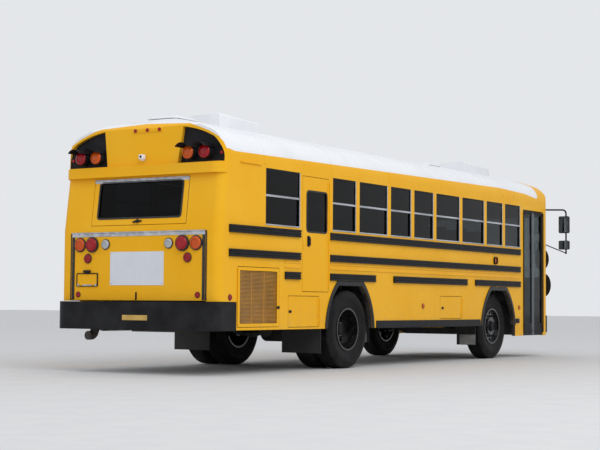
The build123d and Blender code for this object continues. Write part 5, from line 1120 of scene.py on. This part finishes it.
# Stations of the front edge of the first bench, and of the evenly spaced ones ahead of the exit doors
FIRST_BENCH = 1.830
NEXT_BENCH = 3.130
BENCH_COUNT = 8
BENCH_PITCH = 0.700
BENCH_IN = 0.165
BENCH_OUT = 1.140
BENCH_FRAME_Z = 1.318
BENCH_LEG_X = (-0.420, -0.075)
BENCH_RAIL_X = (-0.420, -0.080)
BACK_LEAN = math.radians(-7.7)
DRIVER_SEAT = 8.900
PEDESTAL_Z = 1.250
PAD_EDGE = 0.018
VOXEL = 0.030
DRIVER_VOXEL = 0.024
# How hard and for how many frames the cover is blown up, and how far it may leave the foam
COVER_PRESSURE = 4
COVER_FRAMES = 20
SWELL = 0.016
# Sewn grooves: depth, half width, and place as a share of half the pad's thickness
GROOVE_SINK = 0.006
GROOVE_REACH = 0.011
GROOVE_PLACE = 0.62


def upholster(name, low, high, lean=0.0, place=(0, 0, 0), voxel=VOXEL):
    # A pad that swells under its cover, kept near its foam, with a sewn groove round its edge
    pad = bar(name, low, high, PAD_EDGE, 3)
    pad.data.remesh_voxel_size = voxel
    take(pad)
    bpy.ops.object.voxel_remesh()
    foam = [vertex.co.copy() for vertex in pad.data.vertices]
    cloth = pad.modifiers.new("cover", "CLOTH")
    cloth.settings.use_pressure = True
    cloth.settings.uniform_pressure_force = COVER_PRESSURE
    cloth.settings.effector_weights.gravity = 0
    for step in range(COVER_FRAMES):
        bpy.context.scene.frame_set(step + 1)
    take(pad)
    bpy.ops.object.modifier_apply(modifier="cover")
    bpy.context.scene.frame_set(1)
    for vertex, start in zip(pad.data.vertices, foam):
        move = vertex.co - start
        if move.length > SWELL:
            vertex.co = start + move * (SWELL / move.length)
    worked(pad, "SUBSURF", levels=1, render_levels=1)
    thin = min(range(3), key=lambda way: high[way] - low[way])
    middle = (low[thin] + high[thin]) / 2
    half = (high[thin] - low[thin]) / 2
    outward = [vertex.normal.copy() for vertex in pad.data.vertices]
    for vertex, normal in zip(pad.data.vertices, outward):
        # Two grooves near the faces of the side band
        off_groove = abs(abs(vertex.co[thin] - middle) - half * GROOVE_PLACE)
        near = max(0.0, 1 - off_groove / GROOVE_REACH)
        vertex.co -= normal * GROOVE_SINK * near * near
    pad.rotation_euler = (0, lean, 0)
    pad.location = place
    fix_place(pad)
    smooth(pad, 60)
    return pad


def bench_legs():
    legs = []
    for y in (-BENCH_IN - 0.060, -BENCH_OUT + 0.100):
        legs += [bar("leg", (x, y - 0.016, FLOOR_Z - 0.001), (x + 0.028, y + 0.016, BENCH_FRAME_Z), 0.006)
                 for x in BENCH_LEG_X]
        legs.append(bar("foot", (-0.430, y - 0.022, FLOOR_Z - 0.001), (-0.037, y + 0.022, FLOOR_Z + 0.010),
                        0.003))
    for x in BENCH_RAIL_X:
        legs.append(bar("rail", (x, -BENCH_OUT + 0.02, BENCH_FRAME_Z - 0.028),
                        (x + 0.028, -BENCH_IN - 0.02, BENCH_FRAME_Z), 0.006))
    made = joined(legs)
    smooth(made, 40)
    return made


def add_benches():
    outer, inner = -BENCH_OUT + 0.006, -BENCH_IN - 0.006
    cushion = upholster("cushion", (-0.455, outer, 1.312), (-0.010, inner, 1.420))
    back = upholster("back", (-0.034, outer, 0.010), (0.030, inner, 0.758), BACK_LEAN, (-0.437, 0, 1.312))
    legs = bench_legs()
    stands = ("passenger_seats",)
    for side, sign in SIDES:
        for kind, shape, finish, slot in (("cushions", cushion, "vinyl", "seat_vinyl"),
                                          ("backs", back, "vinyl", "seat_vinyl"),
                                          ("legs", legs, "black", "trim_black")):
            first = copied(shape, (at(FIRST_BENCH), 0, 0), mirror=sign > 0)
            second = copied(shape, (at(NEXT_BENCH), 0, 0), mirror=sign > 0)
            piece = joined([first, repeated(second, BENCH_COUNT, BENCH_PITCH)])
            fit_out(piece, f"bench_{kind}_{side}", finish, "coach", slot, *stands)
            stands = ()
    for shape in (cushion, back, legs):
        bpy.data.objects.remove(shape)


def add_driver_seat():
    x = at(DRIVER_SEAT)
    cushion = upholster("cushion", (x - 0.455, 0.385, 1.352), (x - 0.012, 0.855, 1.436), voxel=DRIVER_VOXEL)
    fit_out(cushion, "driver_cushion", "vinyl", "coach", "seat_vinyl", "driver_seat")
    back = upholster("back", (-0.036, 0.395, 0.010), (0.036, 0.845, 0.640), BACK_LEAN, (x - 0.440, 0, 1.420),
                     DRIVER_VOXEL)
    fit_out(back, "driver_back", "vinyl", "coach", "seat_vinyl")
    pedestal = joined([
        bar("box", (x - 0.400, 0.480, FLOOR_Z - 0.001), (x - 0.080, 0.760, PEDESTAL_Z), 0.020),
        bar("slide", (x - 0.440, 0.440, PEDESTAL_Z), (x - 0.040, 0.800, 1.356), 0.010)])
    smooth(pedestal, 40)
    fit_out(pedestal, "driver_pedestal", "black", "coach", "trim_black")


dress_nodes()
add_wheels()
add_lamps()
add_warning_lenses()
add_window_trim()
add_gaskets()
add_rear_details()
add_cap_lamps()
add_paired_details()
add_right_details()
add_flap_sunlight()
add_roof_seams()
add_rivets()
add_front_markers()
add_mirror_glass()
add_benches()
add_driver_seat()


def place_camera():
    yaw, pitch, roll = map(math.radians, (CAMERA_YAW, CAMERA_PITCH, CAMERA_ROLL))
    forward = Vector((math.cos(pitch) * math.cos(yaw), math.cos(pitch) * math.sin(yaw), math.sin(pitch)))
    level_right = forward.cross(Vector((0, 0, 1))).normalized()
    level_up = level_right.cross(forward)
    right = level_right * math.cos(roll) + level_up * math.sin(roll)
    up = level_up * math.cos(roll) - level_right * math.sin(roll)
    turned = Matrix((right, up, -forward)).transposed().to_4x4()
    bpy.ops.object.camera_add()
    camera = bpy.context.object
    camera.name = "view_camera"
    camera.matrix_world = Matrix.Translation(CAMERA_PLACE) @ turned
    camera.data.lens = CAMERA_LENS
    camera.data.clip_end = 200
    bpy.context.scene.camera = camera


def lay_floor():
    drop_selection()
    bpy.ops.mesh.primitive_plane_add(size=160, location=(20, 20, -0.002))
    ground = bpy.context.object
    ground.name = "stage_floor"
    ground.data.materials.append(worn_finish("stage_pale", (0.62, 0.62, 0.62), (0.60, 0.60, 0.61), 0.9))


def light_scene():
    # A pale sky all round and one large soft lamp behind the camera's right shoulder
    world = bpy.data.worlds.new("pale_sky")
    bpy.context.scene.world = world
    world.use_nodes = True
    tree = world.node_tree
    background = tree.nodes["Background"]
    path = tree.nodes.new("ShaderNodeLightPath")
    seen = work(tree, "MAXIMUM", path.outputs["Is Camera Ray"], path.outputs["Is Glossy Ray"])
    tree.links.new(span(tree, seen, 0, 1, SKY_LIGHT, SKY_SEEN), background.inputs["Strength"])
    background.inputs["Color"].default_value = (0.95, 0.97, 1, 1)
    bpy.ops.object.light_add(type="AREA", location=(-9, -12, 14))
    key = bpy.context.object
    key.name = "key_lamp"
    key.data.size = 12
    key.data.energy = 1100
    key.rotation_euler = (Vector((0, 0, 1)) - Vector(key.location)).to_track_quat("-Z", "Y").to_euler()


place_camera()
lay_floor()
light_scene()
bpy.context.scene.view_settings.view_transform = "Standard"
